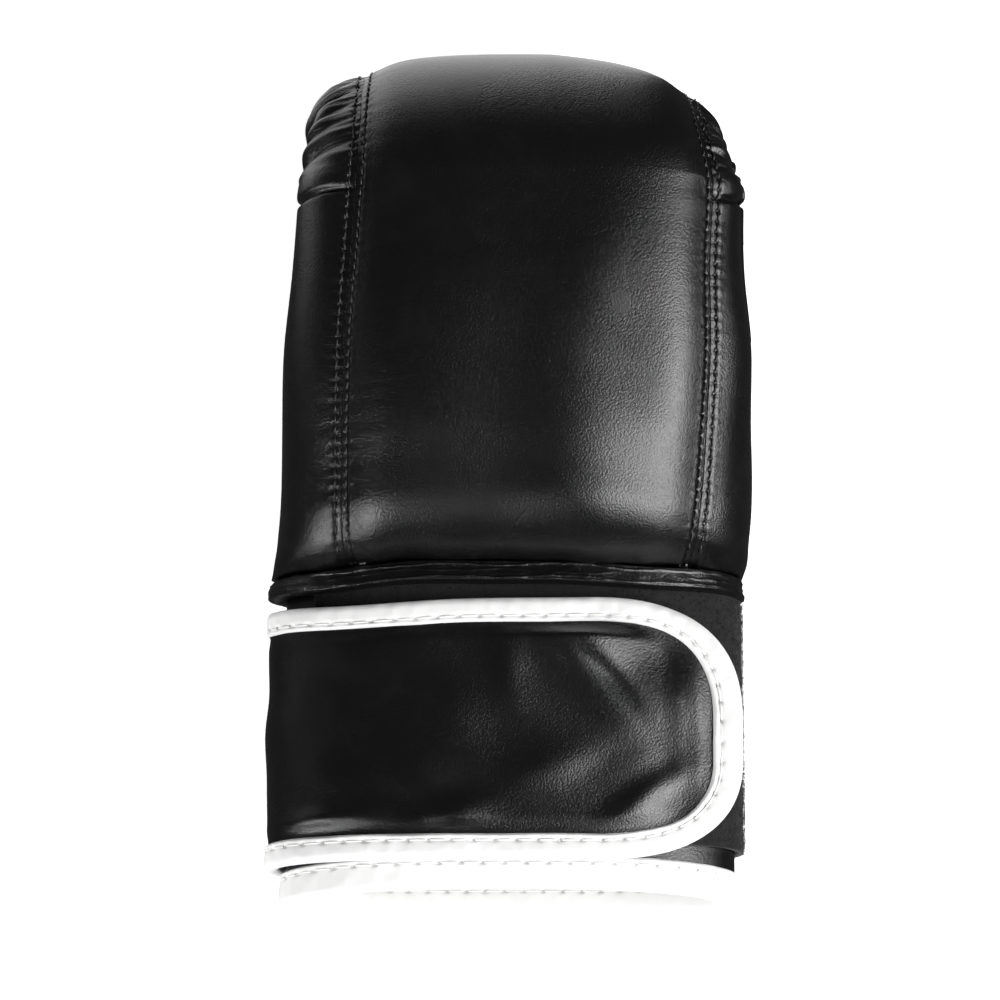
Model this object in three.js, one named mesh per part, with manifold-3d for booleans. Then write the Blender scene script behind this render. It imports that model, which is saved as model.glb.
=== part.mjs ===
// A padded bag glove for boxing, closed and lying on its palm side, for the right hand.
// Units are millimetres. +Z is up, +Y runs from the cuff to the knuckles, and -X is the thumb side.
// The mitt is one bent pocket: it runs forward from the hem over the back of the hand, turns down
// round the crease of the fingers and ends at the fingertips, which rest on the floor.
import * as THREE from "three";
import { mergeVertices } from "three/addons/utils/BufferGeometryUtils.js";
import Module from "manifold-3d";

// Overall sizes
const LENGTH = 240; // cuff rim to the front of the knuckles
const FIST_WIDTH = 132; // across the mitt at its widest
const FIST_HEIGHT = 92; // floor to the top of the knuckles
const KNUCKLE_DEPTH = 44; // palm skin to back skin where the fingers start to curl
const FINGER_DEPTH = 42; // palm skin to front skin of the curled fingers
const CREASE_RADIUS = 2.5; // inside radius of the palm skin at the finger crease

// Sheet and foam thicknesses
const SKIN = 2.5; // artificial leather with its backing, in the side, palm and thumb panels
const BACK_FOAM = 24; // foam over the back of the hand
const SIDE_FOAM = 10; // foam at each side of the hand
const THUMB_WALL = 3; // padded wall of the thumb
const GAP = 0.3; // clearance between neighbouring pieces

// Cuff
const CUFF_WIDTH = FIST_WIDTH - 6.5; // outside of the cuff wall, which fits into the mitt
const CUFF_HEIGHT = FIST_HEIGHT - 42;
const CUFF_WALL = 2.5;
const CUFF_LENGTH = 87; // rim to the hem of the mitt
const CUFF_TUCK = 8; // length of cuff that is sewn inside the mitt
const LINING = 1;
const LINING_DEPTH = 78; // from the rim
const RIM_BINDING_HEIGHT = 9;
const RIM_SCOOP = 2.2; // how far the rim rises in the middle of the back
const TAPE = 1; // binding tape
const HEM_LENGTH = 6.2;
const HEM_PROUD = 0.8;

// Closure
const LOOP_PILE = 1.2;
const LOOP_FROM = 15; // lower edge of the loop panel above the rim
const HOOK = 1.2;
const HOOK_LENGTH = 32;
const HOOK_HEIGHT = 48;
const STRAP_HEIGHT = 74.5;
const STRAP_THICKNESS = 2;
const STRAP_TO_RIM = 0.6; // between the strap and the rim binding
const STRAP_BINDING_WIDTH = 7;
const STRAP_ROOT = 32; // from the middle of the palm side to the sewn end
const TIP_REACH = 66; // from the middle of the glove to the strap's tip
const TIP_LENGTH = 44; // of the strap's round end
const TIP_TOP = 36; // radius of its upper corner
const TIP_BOTTOM = 30; // radius of its lower corner

// Seams between the back and the side panels
const SEAM_VALLEY_DEPTH = 2;
const SEAM_VALLEY_WIDTH = 8;

// Thumb
const THUMB_WIDTH = 30;
const THUMB_HEIGHT = 27;
const THUMB_LENGTH = 66;
const THUMB_FLOOR_CLEARANCE = 1.5;

// Places that follow from the sizes
const STRAP_BINDING = STRAP_THICKNESS + 2 * GAP + 2 * TAPE;
const CUFF_FLOOR = STRAP_BINDING + GAP; // the palm side of the cuff lies on the strap
const HEM_TOP = CUFF_LENGTH + HEM_LENGTH;
const MITT_START = HEM_TOP + GAP;
const CREASE_Y = LENGTH - FINGER_DEPTH - CREASE_RADIUS;
const CREASE_Z = FIST_HEIGHT - KNUCKLE_DEPTH - CREASE_RADIUS;
const LOOP_OUTSIDE = GAP + LOOP_PILE;
const STRAP_LOW = RIM_BINDING_HEIGHT + STRAP_TO_RIM;
const STRAP_MIDDLE = STRAP_LOW + STRAP_HEIGHT / 2;
const STRAP_OVER_BACK = LOOP_OUTSIDE + GAP + HOOK + GAP + STRAP_THICKNESS / 2;
const STRAP_OVER_PALM = GAP + STRAP_BINDING / 2;

// Shape of every cross-section: (x / half width) ^ ACROSS + (height / rise) ^ UP = 1
const MITT_ROUND = { across: 3.2, up: 2.2 };
const CUFF_ROUND = { across: 3.2, up: 2.2 };
const ARCH_ROUND = { across: 5, up: 3.2 }; // the foam's inside
const WIDEST = 0.46; // height of the widest point as a share of the depth

// Rows of a table, from its columns' names and their values.
function table(columns, rows) {
  return rows.map((row) => Object.fromEntries(columns.map((column, i) => [column, row[i]])));
}

// The mitt from the hem (at 0) to the finger crease (at 1). Heights back and palm are shares of the
// fist's height and of the crease's height. width and shift are shares of the fist's width. left and
// right say where the seams run, in shares of the half width, and foam and side are shares of the foams.
const HAND = table(["at", "back", "palm", "width", "shift", "left", "right", "foam", "side"], [
  [0, 0.665, 0.03, 0.998, 0, 0.69, 0.77, 0.24, 0.05],
  [0.03, 0.75, 0.05, 1, 0.001, 0.715, 0.785, 0.5, 0.1],
  [0.08, 0.81, 0.09, 0.992, 0.003, 0.735, 0.8, 0.68, 0.25],
  [0.17, 0.865, 0.185, 0.988, 0.008, 0.75, 0.81, 0.9, 0.85],
  [0.33, 0.925, 0.37, 0.994, 0.014, 0.755, 0.82, 1, 1],
  [0.55, 0.968, 0.62, 1, 0.018, 0.75, 0.84, 1, 1],
  [0.78, 0.995, 0.85, 0.978, 0.022, 0.75, 0.87, 0.95, 1],
  [1, 1, 1, 0.948, 0.026, 0.755, 0.89, 0.85, 1],
]);

// The curled fingers from the end of the turn (at 0) to the fingertips (at 1). lift and depth are shares
// of the fingers' depth: where the palm skin lies, and how far the front skin is from it.
const FINGERS = table(["at", "lift", "depth", "width", "shift", "left", "right", "foam", "side"], [
  [0, 0, 1, 0.885, 0.01, 0.73, 0.87, 0.68, 1],
  [0.45, 0, 0.985, 0.88, 0.01, 0.73, 0.86, 0.66, 1],
  [0.7, 0.04, 0.9, 0.865, 0.01, 0.73, 0.85, 0.9, 1],
  [0.88, 0.13, 0.7, 0.83, 0.01, 0.72, 0.84, 1, 1],
  [0.97, 0.24, 0.46, 0.785, 0.01, 0.71, 0.82, 1, 1],
  [1, 0.32, 0.3, 0.76, 0.01, 0.7, 0.8, 1, 1],
]);
const ROOM_ENDS = 0.62; // share of the fingers' length where the finger room is closed
const ROOM_CLOSES_OVER = 0.15; // share of the fingers' length over which it narrows to nothing

// The cuff from the rim (at 0) to its tucked end (at 1). width is a share of the cuff's width, and low
// and high are the heights of its palm and back sides as shares of its height.
const CUFF = [
  { at: 0, width: 1, low: 0, high: 1 },
  { at: 0.83, width: 1, low: 0, high: 1 },
  { at: 0.9, width: 0.965, low: 0.02, high: 0.99 },
  { at: 1, width: 0.9, low: 0.1, high: 0.95 },
];

// Gathers of a side panel where it goes round the knuckles. turn is where a fold meets the seam, in
// degrees round the crease, lean how far it swings towards the palm on its way to the crease, and
// height and spread its size, in shares of GATHER_HEIGHT and of GATHER_SPREAD.
const GATHER_HEIGHT = 3;
const GATHER_SPREAD = 4.6; // degrees from the ridge of a fold to its foot
const GATHERS = [
  { turn: 8, lean: 0, height: 1, spread: 1.3 },
  { turn: 23, lean: 4, height: 0.85, spread: 1.05 },
  { turn: 37, lean: 6, height: 0.75, spread: 1 },
  { turn: 49, lean: 8, height: 0.65, spread: 0.9 },
  { turn: 60, lean: 8, height: 0.6, spread: 0.85 },
  { turn: 72, lean: 6, height: 0.55, spread: 0.9 },
  { turn: 84, lean: 4, height: 0.6, spread: 1 },
];
const GATHERS_FADE = 0.3; // share of the fingers' length over which the last gather runs out
const TUCK_DEPTH = 1.8; // notch in the side panel at the crease
const TUCK_SPREAD = 3; // length of the notch's slopes
const LIP_HEIGHT = 1.4; // edge of the hand part that stands proud below the notch
const LIP_SPREAD = 7;
const GATHER_ENDS = 0.7; // power of the curve by which the folds fade at a panel's edges

// Numbers of faces
const CUFF_SIDES = 36;
const BEND_STEPS = 8;
const GATHER_STEPS = 3; // faces of a side panel for each step of the bend
const SIDE_FACES = 6; // across a side panel
const BODY_SIDES = 48; // round the mitt's whole body
const STRAP_STEPS = 120; // along the strap's line where it follows the cuff

const wasm = await Module();
wasm.setup();
const DEGREE = Math.PI / 180;

// All columns of a table at one place, on smooth curves that don't overshoot its rows.
function readTable(table, at) {
  let i = 0;
  while (i < table.length - 2 && at > table[i + 1].at) i += 1;
  const slope = (k, column) =>
    (table[k + 1][column] - table[k][column]) / (table[k + 1].at - table[k].at);
  const tangent = (k, column) => {
    if (k === 0) return slope(0, column);
    if (k === table.length - 1) return slope(k - 1, column);
    const before = slope(k - 1, column);
    const after = slope(k, column);
    return before * after <= 0 ? 0 : (2 * before * after) / (before + after);
  };
  const span = table[i + 1].at - table[i].at;
  const t = (at - table[i].at) / span;
  const row = {};
  for (const column of Object.keys(table[i])) {
    const rise = table[i + 1][column] - table[i][column];
    const m0 = tangent(i, column) * span;
    const m1 = tangent(i + 1, column) * span;
    row[column] = table[i][column] + m0 * t + (3 * rise - 2 * m0 - m1) * t * t
      + (m0 + m1 - 2 * rise) * t * t * t;
  }
  return row;
}

const mix = (a, b, t) => a + (b - a) * t;
const bump = (distance, spread) => Math.exp(-((distance / spread) ** 2));

// Evenly spaced values from a to b, both included.
function steps(a, b, count) {
  return Array.from({ length: count + 1 }, (_, i) => mix(a, b, i / count));
}

// A point of a rounded outline: angle 0 is the right side, and 90 degrees is the top.
function roundPoint(angle, halfWidth, rise, drop, round) {
  const c = Math.cos(angle);
  const s = Math.sin(angle);
  return {
    x: halfWidth * Math.sign(c) * Math.abs(c) ** (2 / round.across),
    h: (s > 0 ? rise : -drop) * Math.abs(s) ** (2 / round.up),
  };
}

// The plane and the outer outline of the mitt at a place: 0 hem, 1 to 2 the turn, 3 fingertips.
function mittSection(at) {
  const hand = readTable(HAND, Math.min(at, 1));
  const fingers = readTable(FINGERS, Math.max(at - 2, 0));
  const crease = CREASE_Z + CREASE_RADIUS;
  const bend = THREE.MathUtils.clamp(at - 1, 0, 1);
  const turn = bend * 90 * DEGREE;
  const row = {};
  for (const column of ["width", "shift", "left", "right", "foam", "side"])
    row[column] = mix(hand[column], fingers[column], bend);
  const handDepth = hand.back * FIST_HEIGHT - hand.palm * crease;
  const depth = mix(handDepth, fingers.depth * FINGER_DEPTH, bend);
  const lift = fingers.lift * FINGER_DEPTH;
  return {
    at,
    turn,
    y: at <= 1 ? mix(MITT_START, CREASE_Y, at) : CREASE_Y + CREASE_RADIUS * Math.sin(turn),
    z: (at <= 1 ? hand.palm * crease : CREASE_Z + CREASE_RADIUS * Math.cos(turn))
      - CREASE_Z * Math.max(at - 2, 0),
    middle: lift + WIDEST * depth,
    rise: (1 - WIDEST) * depth,
    drop: WIDEST * depth,
    halfWidth: (row.width * FIST_WIDTH) / 2,
    shift: row.shift * FIST_WIDTH,
    leftSeam: row.left,
    rightSeam: row.right,
    foam: row.foam * BACK_FOAM,
    side: row.side * SIDE_FOAM,
  };
}

// From a section's own plane to the glove.
function place(section, x, h) {
  const up = section.middle + h;
  return new THREE.Vector3(
    x + section.shift,
    section.y + up * Math.sin(section.turn),
    section.z + up * Math.cos(section.turn),
  );
}

// Angles of the outline at the seams and at the edges of the panels.
const rightSeamAngle = (section) => Math.acos(section.rightSeam ** (MITT_ROUND.across / 2));
const leftSeamAngle = (section) => Math.PI - Math.acos(section.leftSeam ** (MITT_ROUND.across / 2));
const PALM_CORNER = 25 * DEGREE; // below the side, where side and palm panels meet
const FOAM_CORNER = 35 * DEGREE; // below the side, where thick foam ends
const THIN_FOAM_ENDS = 0.8; // share of the angle at which the arch meets the palm, for thinner foam
const SEAM_STEP = 1.5 * GAP; // along the skin, between the back's edge and a side panel

// How deep the surface is drawn in by the seams' stitching.
function valley(section, angle) {
  if (Math.sin(angle) <= 0) return 0;
  const { x } = roundPoint(angle, section.halfWidth, section.rise, section.drop, MITT_ROUND);
  const left = bump(x + section.leftSeam * section.halfWidth, SEAM_VALLEY_WIDTH);
  const right = bump(x - section.rightSeam * section.halfWidth, SEAM_VALLEY_WIDTH);
  return SEAM_VALLEY_DEPTH * Math.max(left, right) * Math.min(section.rise / BACK_FOAM, 1);
}

// A point of the mitt at an angle, inset from its outer skin. A negative inset is outside.
function mittPoint(section, angle, inset) {
  const d = inset + valley(section, angle);
  const p = roundPoint(
    angle, section.halfWidth - d, section.rise - d, section.drop - inset, MITT_ROUND);
  return place(section, p.x, p.h);
}

// The angle that lies a distance further along the outline.
function angleFurther(section, angle, distance) {
  const small = 0.01;
  const length = mittPoint(section, angle, 0).distanceTo(mittPoint(section, angle + small, 0));
  return angle + (distance * small) / length;
}

// A point of the arch over the hand: the foam's inside, which stands on the palm panel.
function archPoint(section, angle) {
  const floor = -(section.drop - SKIN - GAP);
  const closing = THREE.MathUtils.clamp((ROOM_ENDS + 2 - section.at) / ROOM_CLOSES_OVER, 0, 1);
  const height = Math.max(section.rise - section.foam - floor, 0) * closing;
  const outside = section.halfWidth - SKIN - GAP;
  const p = roundPoint(angle, outside - section.side, height, 0, ARCH_ROUND);
  const across = Math.abs(p.x) / outside;
  const lowest = floor * (1 - across ** MITT_ROUND.across) ** (1 / MITT_ROUND.up);
  return place(section, p.x, Math.max(floor + p.h, lowest));
}

// How far below the side the foam ends, as an angle of the outline.
function foamCorner(section) {
  const inside = 1 - section.side / (section.halfWidth - SKIN - GAP);
  return Math.min(FOAM_CORNER, THIN_FOAM_ENDS * Math.acos(inside ** (MITT_ROUND.across / 2)));
}

// A closed body through a row of outlines that all have as many points. In a row with open ends, each
// outline runs out along one side and back along the other, so that strips across it close the ends.
function loft(outlines, closed = false) {
  const count = outlines[0].length;
  const positions = outlines.flat().flatMap((p) => [p.x, p.y, p.z]);
  const faces = [];
  const rows = closed ? outlines.length : outlines.length - 1;
  for (let r = 0; r < rows; r += 1) {
    const next = (r + 1) % outlines.length;
    for (let i = 0; i < count; i += 1) {
      const j = (i + 1) % count;
      const [a, b, c, d] = [r * count + i, r * count + j, next * count + j, next * count + i];
      faces.push(a, b, c, a, c, d);
    }
  }
  if (!closed) {
    const last = rows * count;
    for (let i = 0; i < count / 2 - 1; i += 1) {
      const [a, b, c, d] = [i, i + 1, count - 2 - i, count - 1 - i];
      faces.push(a, c, b, a, d, c);
      faces.push(last + a, last + b, last + c, last + a, last + c, last + d);
    }
  }
  return outward(positions, faces);
}

// Geometry whose faces point out of the body that they close.
function outward(positions, faces) {
  const p = (i) => new THREE.Vector3().fromArray(positions, i * 3);
  let volume = 0;
  for (let i = 0; i < faces.length; i += 3)
    volume += p(faces[i]).dot(p(faces[i + 1]).cross(p(faces[i + 2])));
  if (volume < 0)
    for (let i = 0; i < faces.length; i += 3) [faces[i], faces[i + 1]] = [faces[i + 1], faces[i]];
  const geometry = new THREE.BufferGeometry();
  geometry.setAttribute("position", new THREE.Float32BufferAttribute(positions, 3));
  geometry.setIndex(faces);
  return geometry;
}

// Solids for cutting, and back again.
function toSolid(geometry) {
  const merged = mergeVertices(geometry.clone(), 1e-4);
  return new wasm.Manifold(new wasm.Mesh({
    numProp: 3,
    vertProperties: merged.attributes.position.array,
    triVerts: new Uint32Array(merged.index.array),
  }));
}

function fromSolid(solid) {
  const mesh = solid.getMesh();
  const geometry = new THREE.BufferGeometry();
  geometry.setAttribute("position", new THREE.BufferAttribute(mesh.vertProperties, 3));
  geometry.setIndex(new THREE.BufferAttribute(mesh.triVerts, 1));
  return geometry;
}

// Materials
const blackLeather = new THREE.MeshStandardMaterial({ color: 0x141416, roughness: 0.42 });
const blackPile = new THREE.MeshStandardMaterial({ color: 0x0e0e10, roughness: 0.95 });
const whiteTape = new THREE.MeshStandardMaterial({ color: 0xf2f2f2, roughness: 0.5 });
const whiteCloth = new THREE.MeshStandardMaterial({ color: 0xe6e6e4, roughness: 0.9 });

const glove = new THREE.Group();
function addPiece(name, geometry, material) {
  const mesh = new THREE.Mesh(geometry, material);
  mesh.name = name;
  geometry.computeVertexNormals();
  glove.add(mesh);
}

// Places along the mitt where sections are taken.
const HAND_STOPS = [...HAND.slice(0, -1).map((row) => row.at), 0.44, 0.67, 0.89].sort((a, b) => a - b);
const TURN_STOPS = steps(1, 2, BEND_STEPS);
const FINGER_STOPS = [...FINGERS.slice(1).map((row) => row.at), 0.25].sort((a, b) => a - b);
const MITT_STOPS = [...HAND_STOPS, ...TURN_STOPS, ...FINGER_STOPS.map((at) => at + 2)];

// Back pad: foam under the back skin. Between the seams its skin is the glove's outside, and beyond
// them the foam runs on under the side panels and down both sides of the hand.
function backPadOutline(section) {
  const right = rightSeamAngle(section);
  const left = leftSeamAngle(section);
  const corner = foamCorner(section);
  const under = SKIN + 2 * GAP;
  return [
    ...steps(-corner, right, 4).map((a) => mittPoint(section, a, under)),
    ...steps(right, left, 8).map((a) => mittPoint(section, a, 0)),
    ...steps(left, Math.PI + corner, 4).map((a) => mittPoint(section, a, under)),
    ...steps(Math.PI, 0, 18).map((a) => archPoint(section, a)),
  ];
}
addPiece("back_pad", loft(MITT_STOPS.map((at) => backPadOutline(mittSection(at)))), blackLeather);

// How far a side panel stands out of the plain outline: gathers round the turn, and before it the
// tuck at the crease and its lip. share runs from the seam (0) to the palm's edge (1), where it fades.
function gather(section, share) {
  const ends = Math.sin(Math.PI * share) ** GATHER_ENDS;
  if (section.at <= 1) {
    const toCrease = CREASE_Y - section.y;
    const lip = LIP_HEIGHT * bump(toCrease - LIP_SPREAD / 2, LIP_SPREAD);
    return Math.max(lip - TUCK_DEPTH * bump(toCrease, TUCK_SPREAD), 0) * ends;
  }
  const beyondTurn = THREE.MathUtils.clamp((section.at - 2) / GATHERS_FADE, 0, 1);
  let height = 0;
  for (const fold of GATHERS) {
    const from = section.turn / DEGREE + fold.lean * share - fold.turn;
    height += GATHER_HEIGHT * fold.height * bump(from, GATHER_SPREAD * fold.spread);
  }
  return height * ends * (1 - beyondTurn);
}

// Side panels: single skins from the seam round the side of the hand to the palm's edge.
function sidePanel(side) {
  const fine = steps(1, 2, BEND_STEPS * GATHER_STEPS);
  const nearCrease = [0.93, 0.96, 0.985];
  const stops = [...HAND_STOPS, ...nearCrease, ...fine, ...FINGER_STOPS.map((at) => at + 2)];
  return loft(stops.map((at) => {
    const section = mittSection(at);
    const seam = side > 0 ? rightSeamAngle(section) : Math.PI - leftSeamAngle(section);
    const mirror = (angle) => (side > 0 ? angle : Math.PI - angle);
    const start = mirror(angleFurther(section, mirror(seam), -side * SEAM_STEP));
    const angles = steps(start, -PALM_CORNER, SIDE_FACES);
    const skin = (inset) =>
      angles.map((a, i) => mittPoint(section, mirror(a), inset - gather(section, i / SIDE_FACES)));
    return [...skin(0), ...skin(SKIN).reverse()];
  }));
}
addPiece("side_panel_left", sidePanel(-1), blackLeather);
addPiece("side_panel_right", sidePanel(1), blackLeather);

// Thumb: a plain padded sheath that lies under the palm on the thumb side. Its root opens into the
// hand room through a hole in the palm panel.
const THUMB_ROOT = { x: -0.27 * FIST_WIDTH, y: mix(MITT_START, CREASE_Y, 0.26) };
const THUMB_TURN = 9 * DEGREE; // towards the middle of the palm
const THUMB_ROOT_LIFT = 22; // how far the root is above the thumb's line
const THUMB_SIDES = 16;
const THUMB = [
  { at: -0.32, lift: 1.25, size: 0.98 },
  { at: -0.12, lift: 0.85, size: 1 },
  { at: 0.06, lift: 0.42, size: 1 },
  { at: 0.22, lift: 0.14, size: 1 },
  { at: 0.4, lift: 0, size: 1 },
  { at: 0.66, lift: 0, size: 0.97 },
  { at: 0.84, lift: 0, size: 0.86 },
  { at: 0.94, lift: 0, size: 0.66 },
  { at: 0.99, lift: 0, size: 0.38 },
];
function thumbRings(inset) {
  return THUMB.map((row, i) => {
    const before = THUMB[Math.max(i - 1, 0)];
    const after = THUMB[Math.min(i + 1, THUMB.length - 1)];
    const slope = ((after.lift - before.lift) * THUMB_ROOT_LIFT) / ((after.at - before.at) * THUMB_LENGTH);
    const lean = Math.atan(slope);
    const along = row.at * THUMB_LENGTH - (i === THUMB.length - 1 ? inset : 0);
    const halfWidth = Math.max((THUMB_WIDTH / 2) * row.size - inset, 1);
    const halfHeight = Math.max((THUMB_HEIGHT / 2) * row.size - inset, 1);
    const middle = THUMB_FLOOR_CLEARANCE + THUMB_HEIGHT / 2 + row.lift * THUMB_ROOT_LIFT;
    return steps(0, 2 * Math.PI, THUMB_SIDES).slice(0, -1).map((a) => {
      const x = halfWidth * Math.cos(a);
      const h = halfHeight * Math.sin(a);
      const y = along - h * Math.sin(lean);
      return new THREE.Vector3(
        THUMB_ROOT.x + x * Math.cos(THUMB_TURN) + y * Math.sin(THUMB_TURN),
        THUMB_ROOT.y - x * Math.sin(THUMB_TURN) + y * Math.cos(THUMB_TURN),
        middle + h * Math.cos(lean),
      );
    });
  });
}
const thumbOutside = toSolid(loft(thumbRings(0)));
const thumbInside = toSolid(loft(thumbRings(THUMB_WALL)));
function mittBody(inset) {
  const outline = (section) =>
    steps(0, 2 * Math.PI, BODY_SIDES).slice(0, -1).map((a) => mittPoint(section, a, inset));
  return toSolid(loft(MITT_STOPS.map((at) => outline(mittSection(at)))));
}
// The mitt's curved palm leaves a sliver of the sheath beside it, which is dropped.
const thumbBodies = thumbOutside.subtract(thumbInside).subtract(mittBody(-GAP)).decompose();
thumbBodies.sort((a, b) => b.volume() - a.volume());
addPiece("thumb", fromSolid(thumbBodies[0]), blackLeather);

// Palm panel: a single skin across the palm side, from the hem to the fingertips.
function palmPanel() {
  const outlines = MITT_STOPS.map((at) => {
    const section = mittSection(at);
    const from = angleFurther(section, Math.PI + PALM_CORNER, GAP);
    const to = angleFurther(section, 2 * Math.PI - PALM_CORNER, -GAP);
    const angles = steps(from, to, 10);
    const skin = (inset) => angles.map((a) => mittPoint(section, a, inset));
    return [...skin(0), ...skin(SKIN).reverse()];
  });
  return fromSolid(toSolid(loft(outlines)).subtract(thumbInside));
}
addPiece("palm_panel", palmPanel(), blackLeather);

// A point on the cuff at an angle and a distance y above the rim, outset from the cuff's outside.
// The palm side is pressed flat where it rests.
const PRESSED_FLAT = 0.6;
function cuffPoint(angle, y, outset) {
  const row = readTable(CUFF, THREE.MathUtils.clamp(y / (HEM_TOP + CUFF_TUCK), 0, 1));
  const low = row.low * CUFF_HEIGHT - PRESSED_FLAT;
  const half = (row.high * CUFF_HEIGHT - low) / 2;
  const width = (row.width * CUFF_WIDTH) / 2 + outset;
  const p = roundPoint(angle, width, half + outset, half + outset, CUFF_ROUND);
  const pressed = Math.max(p.h, -half + PRESSED_FLAT - outset);
  return new THREE.Vector3(p.x, y, CUFF_FLOOR + low + half + pressed);
}

// The rim is higher in the middle of the back than at the sides.
const rimRise = (angle) => RIM_SCOOP * Math.max(Math.sin(angle), 0) ** 2;
const ringAngles = steps(0, 2 * Math.PI, CUFF_SIDES).slice(0, -1);

// Cuff wall: its lower edge sits in the rim binding, and its upper end is tucked into the mitt.
const CUFF_END = HEM_TOP + CUFF_TUCK;
const HEM_MIDDLE = CUFF_LENGTH + HEM_LENGTH / 2;
const CUFF_LEVELS = [LINING_DEPTH, HEM_MIDDLE, mix(HEM_TOP, CUFF_END, 0.4), CUFF_END];
function cuffOutline(angle) {
  const bottom = TAPE + GAP + rimRise(angle);
  const levels = [bottom, ...CUFF_LEVELS];
  return [
    ...levels.map((y) => cuffPoint(angle, y, 0)),
    ...levels.toReversed().map((y) => cuffPoint(angle, y, -CUFF_WALL)),
  ];
}
addPiece("cuff", loft(ringAngles.map(cuffOutline), true), blackLeather);

// Cuff lining: white cloth inside the cuff wall.
function liningOutline(angle) {
  const levels = [TAPE + GAP + rimRise(angle), LINING_DEPTH];
  const inside = -CUFF_WALL - GAP;
  return [
    ...levels.map((y) => cuffPoint(angle, y, inside)),
    ...levels.toReversed().map((y) => cuffPoint(angle, y, inside - LINING)),
  ];
}
addPiece("cuff_lining", loft(ringAngles.map(liningOutline), true), whiteCloth);

// Rim binding: white tape folded over the lower edge of the wall and its lining.
function rimBindingOutline(angle) {
  const rise = rimRise(angle);
  const outside = GAP;
  const inside = -(CUFF_WALL + GAP + LINING + GAP);
  const fold = [
    [outside + TAPE, RIM_BINDING_HEIGHT],
    [outside + TAPE, TAPE / 2],
    [outside, 0],
    [inside, 0],
    [inside - TAPE, TAPE / 2],
    [inside - TAPE, RIM_BINDING_HEIGHT],
    [inside, RIM_BINDING_HEIGHT],
    [inside, TAPE],
    [outside, TAPE],
    [outside, RIM_BINDING_HEIGHT],
  ];
  return fold.map(([outset, y]) => cuffPoint(angle, y + rise, outset));
}
addPiece("rim_binding", loft(ringAngles.map(rimBindingOutline), true), whiteTape);

// Hem: a black folded band at the mitt's lower edge, round the cuff and the top of its loop panel.
function hemOutline(angle) {
  const section = mittSection(0);
  const inner = (y) => cuffPoint(angle, y, LOOP_OUTSIDE + GAP);
  const outer = (y, proud) => {
    const p = mittPoint(section, angle, -proud);
    return new THREE.Vector3(p.x, y, p.z);
  };
  const waist = mix(CUFF_LENGTH, HEM_TOP, 0.5);
  return [
    inner(CUFF_LENGTH),
    outer(CUFF_LENGTH, -1),
    outer(mix(CUFF_LENGTH, waist, 0.5), HEM_PROUD),
    outer(waist, 0),
    outer(mix(waist, HEM_TOP, 0.5), HEM_PROUD),
    outer(HEM_TOP, -1),
    inner(HEM_TOP),
  ];
}
addPiece("hem", loft(ringAngles.map(hemOutline), true), blackLeather);

// Loop panel: pile tape sewn on the back of the cuff and round its little-finger side.
function loopOutline(angle) {
  const levels = [LOOP_FROM, CUFF_LEVELS[0], HEM_MIDDLE];
  return [
    ...levels.map((y) => cuffPoint(angle, y, GAP)),
    ...levels.toReversed().map((y) => cuffPoint(angle, y, LOOP_OUTSIDE)),
  ];
}
const LOOP_FACES = { from: -4, to: 14 }; // faces of the cuff that it covers
const loopAngles = steps(LOOP_FACES.from, LOOP_FACES.to, LOOP_FACES.to - LOOP_FACES.from)
  .map((face) => (face * 2 * Math.PI) / CUFF_SIDES);
addPiece("loop_panel", loft(loopAngles.map(loopOutline)), blackPile);

// The strap's middle line across the glove: from its sewn end on the palm side round the thumb side
// and over the back, then straight on to its tip.
const STRAP_LEAVES = 52 * DEGREE; // where the strap stops following the cuff
const STRAP_CLIMBS = 0.7; // it climbs onto the loop panel between minus and plus this height's sine
function strapLine() {
  const half = CUFF_WIDTH / 2 + STRAP_OVER_PALM;
  const root = -Math.acos((STRAP_ROOT / half) ** (CUFF_ROUND.across / 2)) + 2 * Math.PI;
  const points = steps(root, STRAP_LEAVES, STRAP_STEPS).map((a) => {
    const back = THREE.MathUtils.smoothstep(Math.sin(a), -STRAP_CLIMBS, STRAP_CLIMBS);
    return cuffPoint(a, STRAP_MIDDLE, mix(STRAP_OVER_PALM, STRAP_OVER_BACK, back));
  });
  const last = points.at(-1);
  const along = last.clone().sub(points.at(-2));
  const run = Math.max(TIP_REACH - last.x, 1) / along.x;
  for (const share of steps(0, 1, 8).slice(1))
    points.push(last.clone().addScaledVector(along, run * share));
  const lengths = [0];
  for (let i = 1; i < points.length; i += 1)
    lengths.push(lengths[i - 1] + points[i].distanceTo(points[i - 1]));
  return { points, lengths, total: lengths.at(-1) };
}
const line = strapLine();

// A point of the strap: a length from its sewn end, y above the rim and a height over its middle.
function wrap(length, y, height) {
  let i = line.lengths.findIndex((l) => l >= length);
  i = THREE.MathUtils.clamp(i < 0 ? line.lengths.length - 1 : i, 1, line.lengths.length - 1);
  const t = (length - line.lengths[i - 1]) / (line.lengths[i] - line.lengths[i - 1]);
  const p = line.points[i - 1].clone().lerp(line.points[i], t);
  const before = line.points[Math.max(i - 2, 0)];
  const after = line.points[Math.min(i + 1, line.points.length - 1)];
  const along = after.clone().sub(before).normalize();
  return new THREE.Vector3(p.x - along.z * height, y, p.z + along.x * height);
}

// The strap's lower and upper edges at a length, inset from its outline, whose end has round corners.
const CORNER_POWER = 2.3;
function strapEdges(length, inset) {
  const start = line.total - TIP_LENGTH;
  const into = THREE.MathUtils.clamp((length - start) / (TIP_LENGTH - inset), 0, 1);
  const arc = (1 - into ** CORNER_POWER) ** (1 / CORNER_POWER);
  const corner = (radius) => (radius - inset) * (1 - arc);
  return {
    low: STRAP_LOW + inset + corner(TIP_BOTTOM),
    high: STRAP_LOW + STRAP_HEIGHT - inset - corner(TIP_TOP),
  };
}

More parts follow.
